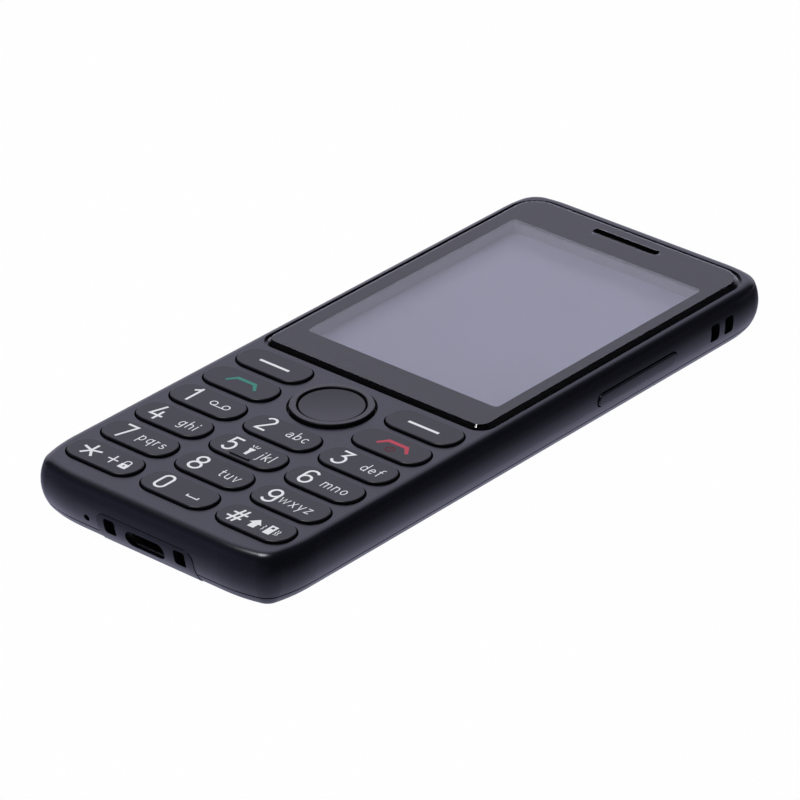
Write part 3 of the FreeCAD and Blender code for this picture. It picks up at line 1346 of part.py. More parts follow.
rocker_face = half_width + rocker_proud
rocker = new_part("volume_rocker")
rocker_flange = Drawing(rocker, "rocker_flange_plan", flange_inner, "YZ_Plane")
rocker_flange.rounded_rectangle(rocker_y, rocker_height, rocker_length + 2 * rocker_flange_margin,
                                rocker_width + 2 * rocker_flange_margin,
                                rocker_corner_radius + rocker_flange_margin / 2)
pad(rocker, "rocker_flange", rocker_flange, rocker_flange_thickness)
rocker_crown = Drawing(rocker, "rocker_crown_plan", flange_outer, "YZ_Plane")
rocker_crown.rounded_rectangle(rocker_y, rocker_height, rocker_length, rocker_width,
                               rocker_corner_radius)
pad(rocker, "rocker_crown", rocker_crown, rocker_face + outside - flange_outer)

# Its face keeps an even step proud of the side wall's arc.
face_radius = side_radius + rocker_proud
face_low, face_high = rocker_height - rocker_width, rocker_height + rocker_width
face_far = rocker_face + 2 * outside
face_ends = [(side_centre_x.number + math.sqrt(face_radius.number ** 2 - drop ** 2), level.number)
             for level, drop in [(level, level.number - widest_height.number)
                                 for level in (face_low, face_high)]]
face_turns = [math.atan2(z - widest_height.number, x - side_centre_x.number) for x, z in face_ends]
rocker_skin = Drawing(rocker, "rocker_skin", rocker_length / 2 + outside - rocker_y, "XZ_Plane")
skin = rocker_skin.arc((side_centre_x.number, widest_height.number), face_radius.number, *face_turns)
over = rocker_skin.line(face_ends[1], (face_far.number, face_high.number))
beyond = rocker_skin.line((face_far.number, face_high.number), (face_far.number, face_low.number))
under = rocker_skin.line((face_far.number, face_low.number), face_ends[0])
for item, follower in ((skin, over), (over, beyond), (beyond, under), (under, skin)):
    rocker_skin.constrain("Coincident", item, 2, follower, 1)
rocker_skin.constrain("Horizontal", over)
rocker_skin.constrain("Vertical", beyond)
rocker_skin.constrain("Horizontal", under)
rocker_skin.constrain("Radius", skin, face_radius)
rocker_skin.pin_x(skin, 3, side_centre_x)
rocker_skin.pin_y(skin, 3, widest_height)
rocker_skin.pin_y(over, 1, face_high)
rocker_skin.pin_y(under, 1, face_low)
rocker_skin.pin_x(beyond, 1, face_far)
cut(rocker, "rocker_face", rocker_skin, rocker_length + 2 * outside)
round_edges(rocker, "rocker_edge", rocker_edge_radius,
            lambda point: abs(math.hypot(point.x - side_centre_x.number,
                                         point.z - widest_height.number)
                              - face_radius.number) < 0.001)

side_switches = new_part("side_switches")
switch_strip = Drawing(side_switches, "switch_strip_plan", switch_inner, "YZ_Plane")
switch_strip.rounded_rectangle(rocker_y, rocker_height, side_switch_spacing + 2 * side_switch_end,
                               rocker_width, side_switch_dome_radius / 2)
pad(side_switches, "switch_strip", switch_strip, side_switch_thickness)
switch_domes = Drawing(side_switches, "switch_dome_plan", switch_inner + side_switch_thickness,
                       "YZ_Plane")
for side in (-1, 1):
    switch_domes.circle(rocker_y + side_switch_spacing / 2 * side, rocker_height,
                         side_switch_dome_radius)
pad(side_switches, "switch_domes", switch_domes, side_switch_thickness)


# ---------------------------------------------------------------- check and write

doc.recompute()
for item in doc.Objects:
    if "Invalid" in item.State or "Error" in item.State:
        raise RuntimeError(f"{item.Label}: {item.State}")
for part in parts:
    if part.Shape.isNull() or not part.Shape.isValid():
        raise RuntimeError(f"{part.Label}: its shape is not valid")

os.makedirs("parts", exist_ok=True)
for part in parts:
    part.Shape.exportStep(f"parts/{part.Label}.step")
    box = part.Shape.BoundBox
    print(f"{part.Label:18s} solids {len(part.Shape.Solids)}  volume {part.Shape.Volume:9.2f}  "
          f"x {box.XMin:7.2f} {box.XMax:7.2f}  y {box.YMin:7.2f} {box.YMax:7.2f}  "
          f"z {box.ZMin:6.2f} {box.ZMax:6.2f}")
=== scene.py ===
import math

import bpy
import numpy as np
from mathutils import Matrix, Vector


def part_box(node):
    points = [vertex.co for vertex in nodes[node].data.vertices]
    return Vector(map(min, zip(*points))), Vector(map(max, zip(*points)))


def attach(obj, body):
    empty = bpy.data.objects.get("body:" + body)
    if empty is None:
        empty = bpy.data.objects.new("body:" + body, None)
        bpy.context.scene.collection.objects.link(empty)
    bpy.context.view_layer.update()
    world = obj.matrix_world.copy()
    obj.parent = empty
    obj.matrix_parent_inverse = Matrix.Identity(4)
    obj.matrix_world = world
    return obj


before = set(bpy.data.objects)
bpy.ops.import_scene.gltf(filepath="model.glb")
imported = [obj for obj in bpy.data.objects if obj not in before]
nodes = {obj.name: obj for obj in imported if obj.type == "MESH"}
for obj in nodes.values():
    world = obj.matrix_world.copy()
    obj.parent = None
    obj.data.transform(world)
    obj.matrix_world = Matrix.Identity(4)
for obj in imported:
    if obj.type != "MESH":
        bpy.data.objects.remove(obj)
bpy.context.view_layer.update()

# ------------------------------------------------------------------ bench, light and camera
# A pale bench in a dim room: one lamp overhead, and one big pale card standing behind the
# phone, which the flat faces mirror to a long lens 0.94 m off at the phone's lower right.
# The camera sees through the bench to plain white, and only a faint shadow is left of it.

bench_reach, bench_top = 3.0, -0.00002      # a hair under the cover's flat back
bench_grey, bench_roughness = (0.80, 0.80, 0.81), 0.9
bench_share_seen_through = 0.985
# What polished pieces see in the bench is painted light: a painted pool of light round the phone's
# footprint, which is a round-cornered rectangle, with painted shadow under the phone's edge, and
# dimmer away from it.
painted_pool_near, painted_pool_far = (0.60, 0.60, 0.80), (0.025, 0.025, 0.035)
footprint_core, footprint_corner = (0.0187, 0.0593, 0), 0.010
bench_pool_reach = 0.0115                   # the pool falls to a third over this
# Painted shadow under the phone's edge: inside the footprint the pool falls to a share of its
# strength.
under_edge_start, under_edge_end, painted_shadow_share = -0.001, -0.005, 0.25
painted_light_beyond = (0.80, 0.79, 0.95)           # painted light on the bench between the phone and the card
beyond_start, beyond_end = 0.075, 0.14
room_fill = (0.270, 0.275, 0.295)
room_dim = (0.022, 0.022, 0.030)
# Two glows low in the room, left of the camera: colour, azimuth, elevation and half width.
room_glows = (((0.09, 0.09, 0.16), -40, 6, 50), ((0.12, 0.12, 0.20), -35, -2, 22))
front_glow = (0.13, 0.13, 0.19)             # a painted glow on the bench before the bottom end, to the left
front_glow_azimuth, front_start, front_end = math.radians(-35), 0.040, 0.085
card_white = (0.90, 0.885, 1.10)
card_elevation = math.radians(18)
card_edge_outer, card_edge_inner = math.cos(math.radians(50)), math.cos(math.radians(31))
lamp_place, lamp_width, lamp_power = (-0.175, -0.215, 1.055), 0.38, 6.4
camera_place = (0.535850, -0.626415, 0.454878)
camera_azimuth, camera_elevation = math.radians(40.662), math.radians(28.724)
camera_lens, camera_film = 236.96, 36       # millimetres

bpy.context.scene.view_settings.view_transform = "Standard"


def new_material(name):
    """A new material, its node tree and its Principled shader."""
    material = bpy.data.materials.new(name)
    material.use_nodes = True
    return material, material.node_tree, material.node_tree.nodes["Principled BSDF"]


def node(tree, kind, settings=(), **inputs):
    """A shader node of a kind with its settings, each input either a value or a socket to link."""
    made = tree.nodes.new(kind)
    for name, value in dict(settings).items():
        setattr(made, name, value)
    for name, value in inputs.items():
        socket = made.inputs[int(name[1:])] if name[0] == "i" and name[1:].isdigit() else \
            made.inputs[name.replace("_", " ")]
        if isinstance(value, bpy.types.NodeSocket):
            tree.links.new(value, socket)
        else:
            socket.default_value = value
    return made


def rgb(colour):
    """A colour of three numbers with its alpha of one."""
    return (*colour, 1)


bench_white, tree, principled = new_material("bench_white")
principled.inputs["Base Color"].default_value = rgb(bench_grey)
principled.inputs["Roughness"].default_value = bench_roughness
principled.inputs["Specular IOR Level"].default_value = 0.0
rays = tree.nodes.new("ShaderNodeLightPath")
place = node(tree, "ShaderNodeTexCoord").outputs["Object"]
mirrored_place = node(tree, "ShaderNodeVectorMath", {"operation": "ABSOLUTE"}, i0=place)
beyond = node(tree, "ShaderNodeVectorMath", {"operation": "SUBTRACT"},
              i0=mirrored_place.outputs[0], i1=footprint_core)
outside = node(tree, "ShaderNodeVectorMath", {"operation": "MAXIMUM"}, i0=beyond.outputs[0],
               i1=(0, 0, 0))
reach = node(tree, "ShaderNodeVectorMath", {"operation": "LENGTH"}, i0=outside.outputs[0])
from_edge = node(tree, "ShaderNodeMath", {"operation": "SUBTRACT"}, i0=reach.outputs["Value"],
                 i1=footprint_corner)
reaches_out = node(tree, "ShaderNodeMath", {"operation": "DIVIDE"}, i0=from_edge.outputs[0],
                   i1=-bench_pool_reach)
# Painted pool of light, falling away from the footprint's edge.
pool = node(tree, "ShaderNodeMath", {"operation": "EXPONENT"}, i0=reaches_out.outputs[0])
# Painted shadow under the phone's edge.
under_edge = node(tree, "ShaderNodeMapRange", Value=from_edge.outputs[0],
                  From_Min=under_edge_end, From_Max=under_edge_start,
                  To_Min=painted_shadow_share, To_Max=1.0)
pool_colour = node(tree, "ShaderNodeMix", {"data_type": "RGBA", "clamp_factor": False},
                   Factor=pool.outputs[0])
pool_colour.inputs[6].default_value = rgb(painted_pool_far)
pool_colour.inputs[7].default_value = rgb(painted_pool_near)
# Painted light on the bench beyond the phone, towards the card.
behind = node(tree, "ShaderNodeVectorMath", {"operation": "DOT_PRODUCT"}, i0=place,
              i1=(-math.sin(camera_azimuth), math.cos(camera_azimuth), 0))
beyond_share = node(tree, "ShaderNodeMapRange", {"interpolation_type": "SMOOTHSTEP"},
                    Value=behind.outputs["Value"], From_Min=beyond_start, From_Max=beyond_end)
gloss_colour = node(tree, "ShaderNodeMix", {"data_type": "RGBA"}, Factor=beyond_share.outputs[0])
tree.links.new(pool_colour.outputs[2], gloss_colour.inputs[6])
gloss_colour.inputs[7].default_value = rgb(painted_light_beyond)
# Painted glow on the bench before the bottom end.
in_front = node(tree, "ShaderNodeVectorMath", {"operation": "DOT_PRODUCT"}, i0=place,
                i1=(math.sin(front_glow_azimuth), -math.cos(front_glow_azimuth), 0))
front_share = node(tree, "ShaderNodeMapRange", {"interpolation_type": "SMOOTHSTEP"},
                   Value=in_front.outputs["Value"], From_Min=front_start, From_Max=front_end)
front_light = node(tree, "ShaderNodeVectorMath", {"operation": "SCALE"}, i0=front_glow,
                   Scale=front_share.outputs[0])
gloss_sum = node(tree, "ShaderNodeVectorMath", {"operation": "ADD"}, i0=gloss_colour.outputs[2],
                 i1=front_light.outputs[0])
# Glossy rays see the painted pool, shadow and glows as light.
glossy_pool = node(tree, "ShaderNodeEmission", Color=gloss_sum.outputs[0],
                   Strength=under_edge.outputs[0])
seen_through = node(tree, "ShaderNodeBsdfTransparent")      # the lifted cover sinks below it
gloss_or_bench = node(tree, "ShaderNodeMixShader", i0=rays.outputs["Is Glossy Ray"],
                      i1=principled.outputs[0], i2=glossy_pool.outputs[0])
seen_share = node(tree, "ShaderNodeMath", {"operation": "MULTIPLY"},
                  i0=rays.outputs["Is Camera Ray"], i1=bench_share_seen_through)
seen_or_other = node(tree, "ShaderNodeMixShader", i0=seen_share.outputs[0],
                     i1=gloss_or_bench.outputs[0], i2=seen_through.outputs[0])
below = node(tree, "ShaderNodeNewGeometry").outputs["Backfacing"]
clear = node(tree, "ShaderNodeBsdfTransparent")
both_sides = node(tree, "ShaderNodeMixShader", i0=below, i1=seen_or_other.outputs[0],
                  i2=clear.outputs[0])
tree.links.new(both_sides.outputs[0], tree.nodes["Material Output"].inputs["Surface"])
bench_white.cycles.emission_sampling = "NONE"

bench_mesh = bpy.data.meshes.new("bench")
bench_mesh.from_pydata([(x * bench_reach, y * bench_reach, bench_top)
                        for x, y in ((-1, -1), (1, -1), (1, 1), (-1, 1))], [], [(0, 1, 2, 3)])
bench_mesh.materials.append(bench_white)
bench = bpy.data.objects.new("bench", bench_mesh)
bpy.context.scene.collection.objects.link(bench)

studio = bpy.data.worlds.new("studio")
bpy.context.scene.world = studio
studio.use_nodes = True
studio.cycles.sampling_method = "NONE"
tree = studio.node_tree
card_direction = (-math.sin(camera_azimuth) * math.cos(card_elevation),
                  math.cos(camera_azimuth) * math.cos(card_elevation),
                  math.sin(card_elevation))
rays = tree.nodes.new("ShaderNodeLightPath")
towards = node(tree, "ShaderNodeTexCoord").outputs["Generated"]
on_card = node(tree, "ShaderNodeVectorMath", {"operation": "DOT_PRODUCT"}, i0=towards,
               i1=card_direction)
card = node(tree, "ShaderNodeMapRange", {"interpolation_type": "SMOOTHSTEP"},
            Value=on_card.outputs["Value"], From_Min=card_edge_outer,
            From_Max=card_edge_inner)
mirrored = node(tree, "ShaderNodeMix", {"data_type": "RGBA"}, Factor=card.outputs[0])
mirrored.inputs[6].default_value = rgb(room_dim)
mirrored.inputs[7].default_value = rgb(card_white)
mirrored_room = mirrored.outputs[2]
for colour, azimuth, elevation, half_width in room_glows:
    azimuth, elevation = math.radians(azimuth), math.radians(elevation)
    towards_glow = (math.sin(azimuth) * math.cos(elevation),
                    -math.cos(azimuth) * math.cos(elevation), math.sin(elevation))
    on_glow = node(tree, "ShaderNodeVectorMath", {"operation": "DOT_PRODUCT"}, i0=towards,
                   i1=towards_glow)
    glow_share = node(tree, "ShaderNodeMapRange", {"interpolation_type": "SMOOTHSTEP"},
                      Value=on_glow.outputs["Value"],
                      From_Min=math.cos(math.radians(half_width)), From_Max=1.0)
    glow = node(tree, "ShaderNodeVectorMath", {"operation": "SCALE"}, i0=colour,
                Scale=glow_share.outputs[0])
    mirrored_room = node(tree, "ShaderNodeVectorMath", {"operation": "ADD"},
                         i0=mirrored_room, i1=glow.outputs[0]).outputs[0]
unseen = node(tree, "ShaderNodeMix", {"data_type": "RGBA"},
              Factor=rays.outputs["Is Glossy Ray"])
unseen.inputs[6].default_value = rgb(room_fill)
tree.links.new(mirrored_room, unseen.inputs[7])
every_ray = node(tree, "ShaderNodeMix", {"data_type": "RGBA"},
                 Factor=rays.outputs["Is Camera Ray"])
tree.links.new(unseen.outputs[2], every_ray.inputs[6])
every_ray.inputs[7].default_value = rgb((1, 1, 1))
tree.links.new(every_ray.outputs[2], tree.nodes["Background"].inputs["Color"])

lamp_data = bpy.data.lights.new("overhead_lamp", "AREA")
lamp_data.shape = "SQUARE"
lamp_data.size = lamp_width
lamp_data.energy = lamp_power
lamp = bpy.data.objects.new("overhead_lamp", lamp_data)
lamp.location = lamp_place
lamp.rotation_euler = (-Vector(lamp_place)).to_track_quat("-Z", "Y").to_euler()
bpy.context.scene.collection.objects.link(lamp)

camera_back = Vector((math.sin(camera_azimuth) * math.cos(camera_elevation),
                      -math.cos(camera_azimuth) * math.cos(camera_elevation),
                      math.sin(camera_elevation)))
camera_data = bpy.data.cameras.new("camera")
camera_data.lens = camera_lens
camera_data.sensor_width = camera_film
camera = bpy.data.objects.new("camera", camera_data)
camera.location = camera_place
camera.rotation_mode = "QUATERNION"
camera.rotation_quaternion = (-camera_back).to_track_quat("-Z", "Y")
bpy.context.scene.collection.objects.link(camera)
bpy.context.scene.camera = camera

# ------------------------------------------------------------------ housing, rocker and cover
# Injection-moulded polycarbonate with a soft-touch coat of blue-black rubbery paint: the
# housing and cover snap together at the low parting line. The coat has a very fine grain.

housing_black, cover_black = (0.0040, 0.0044, 0.0074), (0.0056, 0.0058, 0.0098)
housing_tint, cover_tint = (0.90, 0.90, 1), (0.82, 0.82, 1)      # the coats' blue sheen
coat_grain, coat_grain_depth = 0.0002, 0.00001
drifts_a_metre = 65.0


def spray_grain_group():
    """Sprayed-coat group: fine noise on Object coordinates is the grain's height, and a
    broad slow noise makes the colour and the roughness drift a little."""
    group = bpy.data.node_groups.new("spray_grain", "ShaderNodeTree")
    for name, kind, value in (("Colour", "NodeSocketColor", (0.5, 0.5, 0.5, 1)),
                              ("Colour Drift", "NodeSocketFloat", 0.1),
                              ("Roughness", "NodeSocketFloat", 0.4),
                              ("Roughness Drift", "NodeSocketFloat", 0.03),
                              ("Grain Size", "NodeSocketFloat", coat_grain)):
        socket = group.interface.new_socket(name, in_out="INPUT", socket_type=kind)
        socket.default_value = value
    for name, kind in (("Colour", "NodeSocketColor"), ("Roughness", "NodeSocketFloat"),
                       ("Height", "NodeSocketFloat")):
        group.interface.new_socket(name, in_out="OUTPUT", socket_type=kind)
    given = group.nodes.new("NodeGroupInput")
    result = group.nodes.new("NodeGroupOutput")
    place = node(group, "ShaderNodeTexCoord").outputs["Object"]
    per_grain = node(group, "ShaderNodeMath", {"operation": "DIVIDE"}, i0=1.0,
                     i1=given.outputs["Grain Size"])
    fine = node(group, "ShaderNodeTexNoise", Vector=place, Scale=per_grain.outputs[0],
                Detail=2.0, Roughness=0.6)
    broad = node(group, "ShaderNodeTexNoise", Vector=place, Scale=drifts_a_metre, Detail=2.0)
    drift = node(group, "ShaderNodeMath", {"operation": "SUBTRACT"}, i0=broad.outputs[0],
                 i1=0.5)
    value = node(group, "ShaderNodeMath", {"operation": "MULTIPLY_ADD"},
                 i0=drift.outputs[0], i1=given.outputs["Colour Drift"], i2=1.0)
    tinted = node(group, "ShaderNodeVectorMath", {"operation": "SCALE"},
                  i0=given.outputs["Colour"], Scale=value.outputs[0])
    speckle = node(group, "ShaderNodeMath", {"operation": "SUBTRACT"}, i0=fine.outputs[0],
                   i1=0.5)
    both = node(group, "ShaderNodeMath", {"operation": "ADD"}, i0=drift.outputs[0],
                i1=speckle.outputs[0])
    rough = node(group, "ShaderNodeMath", {"operation": "MULTIPLY_ADD"}, i0=both.outputs[0],
                 i1=given.outputs["Roughness Drift"], i2=given.outputs["Roughness"])
    group.links.new(tinted.outputs[0], result.inputs["Colour"])
    group.links.new(rough.outputs[0], result.inputs["Roughness"])
    group.links.new(fine.outputs[0], result.inputs["Height"])
    return group


spray_grain = spray_grain_group()


def grained(name, colour, roughness, grain=coat_grain, depth=coat_grain_depth, strength=0.15,
            drift=0.15, roughness_drift=0.05, specular=0.5, metallic=0.0, tint=(1, 1, 1)):
    """A material whose colour, roughness and bump come from the sprayed-grain group."""
    material, tree, principled = new_material(name)
    coat = tree.nodes.new("ShaderNodeGroup")
    coat.node_tree = spray_grain
    for socket, value in (("Colour", rgb(colour)), ("Colour Drift", drift),
                          ("Roughness", roughness), ("Roughness Drift", roughness_drift),
                          ("Grain Size", grain)):
        coat.inputs[socket].default_value = value
    bump = node(tree, "ShaderNodeBump", Height=coat.outputs["Height"], Distance=depth,
                Strength=strength)
    tree.links.new(coat.outputs["Colour"], principled.inputs["Base Color"])
    tree.links.new(coat.outputs["Roughness"], principled.inputs["Roughness"])
    tree.links.new(bump.outputs[0], principled.inputs["Normal"])
    principled.inputs["Specular IOR Level"].default_value = specular
    principled.inputs["Specular Tint"].default_value = rgb(tint)
    principled.inputs["Metallic"].default_value = metallic
    return material


def dress(material, *names):
    """Puts a material in the slot of each CAD node named."""
    for name in names:
        nodes[name].data.materials[0] = material


dress(grained("housing_soft_touch", housing_black, 0.28, specular=0.60, tint=housing_tint),
      "front_housing", "volume_rocker")
dress(grained("cover_soft_touch", cover_black, 0.30, specular=0.33, tint=cover_tint),
      "back_cover")

# ------------------------------------------------------------------ display lens and black mask
# A 1 mm moulded acrylic lens with a wide polished bevel, stuck in the housing's recess by a
# black film that also hides the display's edges. The bevel mirrors the dark room.

lens_clear, lens_passes, lens_index = (0.96, 0.97, 0.98), (0.92, 0.93, 0.94), 1.5
lens_smears = {"Scale": 90.0, "Detail": 4.0}
lens_haze = {"From_Min": 0.55, "From_Max": 0.9, "To_Min": 0.0, "To_Max": 0.01}


def clear_moulding(name, colour, passes, index, smears, haze):
    """Clear plastic: a noise on Object coordinates makes its haze, and lamps shine through."""
    material, tree, principled = new_material(name)
    principled.inputs["Base Color"].default_value = rgb(colour)
    principled.inputs["IOR"].default_value = index
    principled.inputs["Transmission Weight"].default_value = 1.0
    place = node(tree, "ShaderNodeTexCoord").outputs["Object"]
    wiped = node(tree, "ShaderNodeTexNoise", Vector=place, **smears)
    roughness = node(tree, "ShaderNodeMapRange", Value=wiped.outputs[0], **haze)
    tree.links.new(roughness.outputs[0], principled.inputs["Roughness"])
    rays = tree.nodes.new("ShaderNodeLightPath")
    let_through = node(tree, "ShaderNodeBsdfTransparent", Color=rgb(passes))
    shown = node(tree, "ShaderNodeMixShader", i0=rays.outputs["Is Shadow Ray"],
                 i1=principled.outputs[0], i2=let_through.outputs[0])
    tree.links.new(shown.outputs[0], tree.nodes["Material Output"].inputs["Surface"])
    return material


lens = clear_moulding("polished_lens", lens_clear, lens_passes, lens_index, lens_smears,
                      lens_haze)
dress(lens, "display_lens")
dress(grained("black_film", (0.0022, 0.0022, 0.0028), 0.5, specular=0.15), "lens_adhesive")

# ------------------------------------------------------------------ display, its frame and tray
# The display is an unlit 2.8 inch liquid crystal panel, grey-lilac under its polariser. It
# lies in a pressed steel tray, well under the lens, in a charcoal plastic frame.

panel_lilac, panel_cloud, clouds_a_metre = (0.078, 0.076, 0.108), 0.10, 28.0
frame_charcoal = (0.115, 0.110, 0.140)

dress(grained("display_frame_charcoal", frame_charcoal, 0.6), "display_frame")
polariser, tree, principled = new_material("display_polariser")
place = node(tree, "ShaderNodeTexCoord").outputs["Object"]
cloud = node(tree, "ShaderNodeTexNoise", Vector=place, Scale=clouds_a_metre, Detail=1.0)
level = node(tree, "ShaderNodeMapRange", Value=cloud.outputs[0], From_Min=0.3, From_Max=0.7,
             To_Min=1 - panel_cloud, To_Max=1 + panel_cloud)
panel_tint = node(tree, "ShaderNodeVectorMath", {"operation": "SCALE"}, i0=panel_lilac,
                  Scale=level.outputs[0])
tree.links.new(panel_tint.outputs[0], principled.inputs["Base Color"])
principled.inputs["Roughness"].default_value = 0.3
dress(polariser, "lcd_panel")

# ------------------------------------------------------------------ earpiece
# Woven black cloth under the lens's slot, with the small receiver behind it. A thin black
# sleeve lines the slot through the lens.

cloth_pitch, thread_height = 0.00022, 0.00005
bands_a_unit = 0.314                        # a wave texture's scale for one band a metre
between_threads, thread_black = (0.0010, 0.0010, 0.0012), (0.006, 0.006, 0.0075)
sleeve_beyond, sleeve_wall, sleeve_gap = 0.00011, 0.0001, 0.00002
end_steps = 25

cloth, tree, principled = new_material("earpiece_cloth")
place = node(tree, "ShaderNodeTexCoord").outputs["Object"]
weave = []
for axis in ("X", "Y"):
    threads = node(tree, "ShaderNodeTexWave", {"wave_type": "BANDS", "bands_direction": axis},
                   Vector=place, Scale=bands_a_unit / cloth_pitch)
    weave.append(threads.outputs["Fac"])
crossing = node(tree, "ShaderNodeMath", {"operation": "MULTIPLY"}, i0=weave[0], i1=weave[1])
thread = node(tree, "ShaderNodeMix", {"data_type": "RGBA"}, Factor=crossing.outputs[0])
thread.inputs[6].default_value = rgb(between_threads)
thread.inputs[7].default_value = rgb(thread_black)
raised = node(tree, "ShaderNodeBump", Height=crossing.outputs[0], Strength=0.5,
              Distance=thread_height)
tree.links.new(thread.outputs[2], principled.inputs["Base Color"])
tree.links.new(raised.outputs[0], principled.inputs["Normal"])
principled.inputs["Roughness"].default_value = 0.85
principled.inputs["Specular IOR Level"].default_value = 0.1
dress(cloth, "earpiece_mesh")


def slot_sleeve(length, width, wall, middle, foot, top):
    """A sleeve in a round-ended slot. Round the path, x is the end's centre plus the radius
    times cos t, and y is the radius times sin t, with t from -90 to 90 degrees at one end and
    from 90 to 270 at the other. At each point stands a section of four corners, one wall wide."""
    turn = np.radians(np.concatenate([np.linspace(-90, 90, end_steps),
                                      np.linspace(90, 270, end_steps)]))
    end_x = np.repeat([1, -1], end_steps) * (length - width) / 2
    inset, height = np.array([0, 0, wall, wall]), np.array([foot, top, top, foot])
    radius = width / 2 - inset
    flat = np.stack([middle[0] + end_x[:, None] + np.cos(turn)[:, None] * radius,
                     middle[1] + np.sin(turn)[:, None] * radius], -1)
    vertices = np.dstack([flat, np.broadcast_to(height, flat.shape[:2])]).reshape(-1, 3)
    return vertices, skin(len(turn), 4, True)


def skin(rows, corners, loop):
    """The faces between neighbouring sections of a bar, each of which is a ring of corners;
    on a loop the last section meets the first."""
    row, column = np.meshgrid(np.arange(rows if loop else rows - 1), np.arange(corners),
                              indexing="ij")
    after, beside = (row + 1) % rows, (column + 1) % corners
    return np.stack([row * corners + column, after * corners + column,
                     after * corners + beside, row * corners + beside],
                    -1).reshape(-1, 4).tolist()


def link_piece(name, vertices, faces, material, body, slot_name):
    """Adds a new piece of the phone: its mesh, material and body. The slot name is not used."""
    mesh = bpy.data.meshes.new(name)
    mesh.from_pydata(vertices.tolist(), [], faces)
    mesh.materials.append(material)
    piece = bpy.data.objects.new(name, mesh)
    bpy.context.scene.collection.objects.link(piece)
    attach(piece, body)


mesh_low, mesh_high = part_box("earpiece_mesh")
lens_low, lens_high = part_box("display_lens")
sleeve_middle = ((mesh_low.x + mesh_high.x) / 2, (mesh_low.y + mesh_high.y) / 2)
link_piece("earpiece_sleeve",
           *slot_sleeve(mesh_high.x - mesh_low.x + 2 * sleeve_beyond,
                        mesh_high.y - mesh_low.y + 2 * sleeve_beyond, sleeve_wall,
                        sleeve_middle, lens_low.z + sleeve_gap, lens_high.z - sleeve_gap),
           grained("sleeve_black", (0.003, 0.003, 0.0035), 0.6, specular=0.1), "phone",
           "black_plastic")

# ------------------------------------------------------------------ keys and their printed marks
# Sixteen moulded keys of one size with the same soft coat, a shade darker than the deck. The
# figures, letters and signs are pad-printed on top in white, green and red ink.

key_black = (0.0058, 0.0058, 0.0084)
# Metres: how far ink stands above a key and reaches into it, and how much each stroke of a
# mark stands above the one before, so that no two tops lie in one plane.
ink_proud, ink_bedded, ink_step = 0.000018, 0.000008, 0.0000004
# A stroke's section: places across it in half widths, and heights from its foot to its top.
ink_across = np.array([-1, -1, -0.8, 0.8, 1, 1])
ink_height = np.array([0, 0.6, 1, 1, 0.6, 0])
# Millimetres, as all places and widths of the marks are.
figure_height, figure_half = 4.9, 0.25
small_height, small_spread, small_half, small_gap = 1.8, 1.87, 0.105, 0.22
millimetre = 0.001

key_names = [name for name in nodes if name.startswith("key_")]
dress(grained("key_soft_touch", key_black, 0.34, specular=0.425), *key_names)


def arc(x, y, wide, high, start, stop):
    """Points on an ellipse's rim, from one angle to another in degrees, 15 or less apart."""
    turn = np.radians(np.linspace(start, stop, max(3, int(abs(stop - start) / 15) + 1)))
    return np.stack([x + wide * np.cos(turn), y + high * np.sin(turn)], 1)


def line(*parts):
    """One line of points out of points and arcs, in order, each point once."""
    points = np.vstack([np.atleast_2d(part) for part in parts])
    moved = np.linalg.norm(np.diff(points, axis=0), axis=1) > 1e-6
    return points[np.concatenate([[True], moved])]


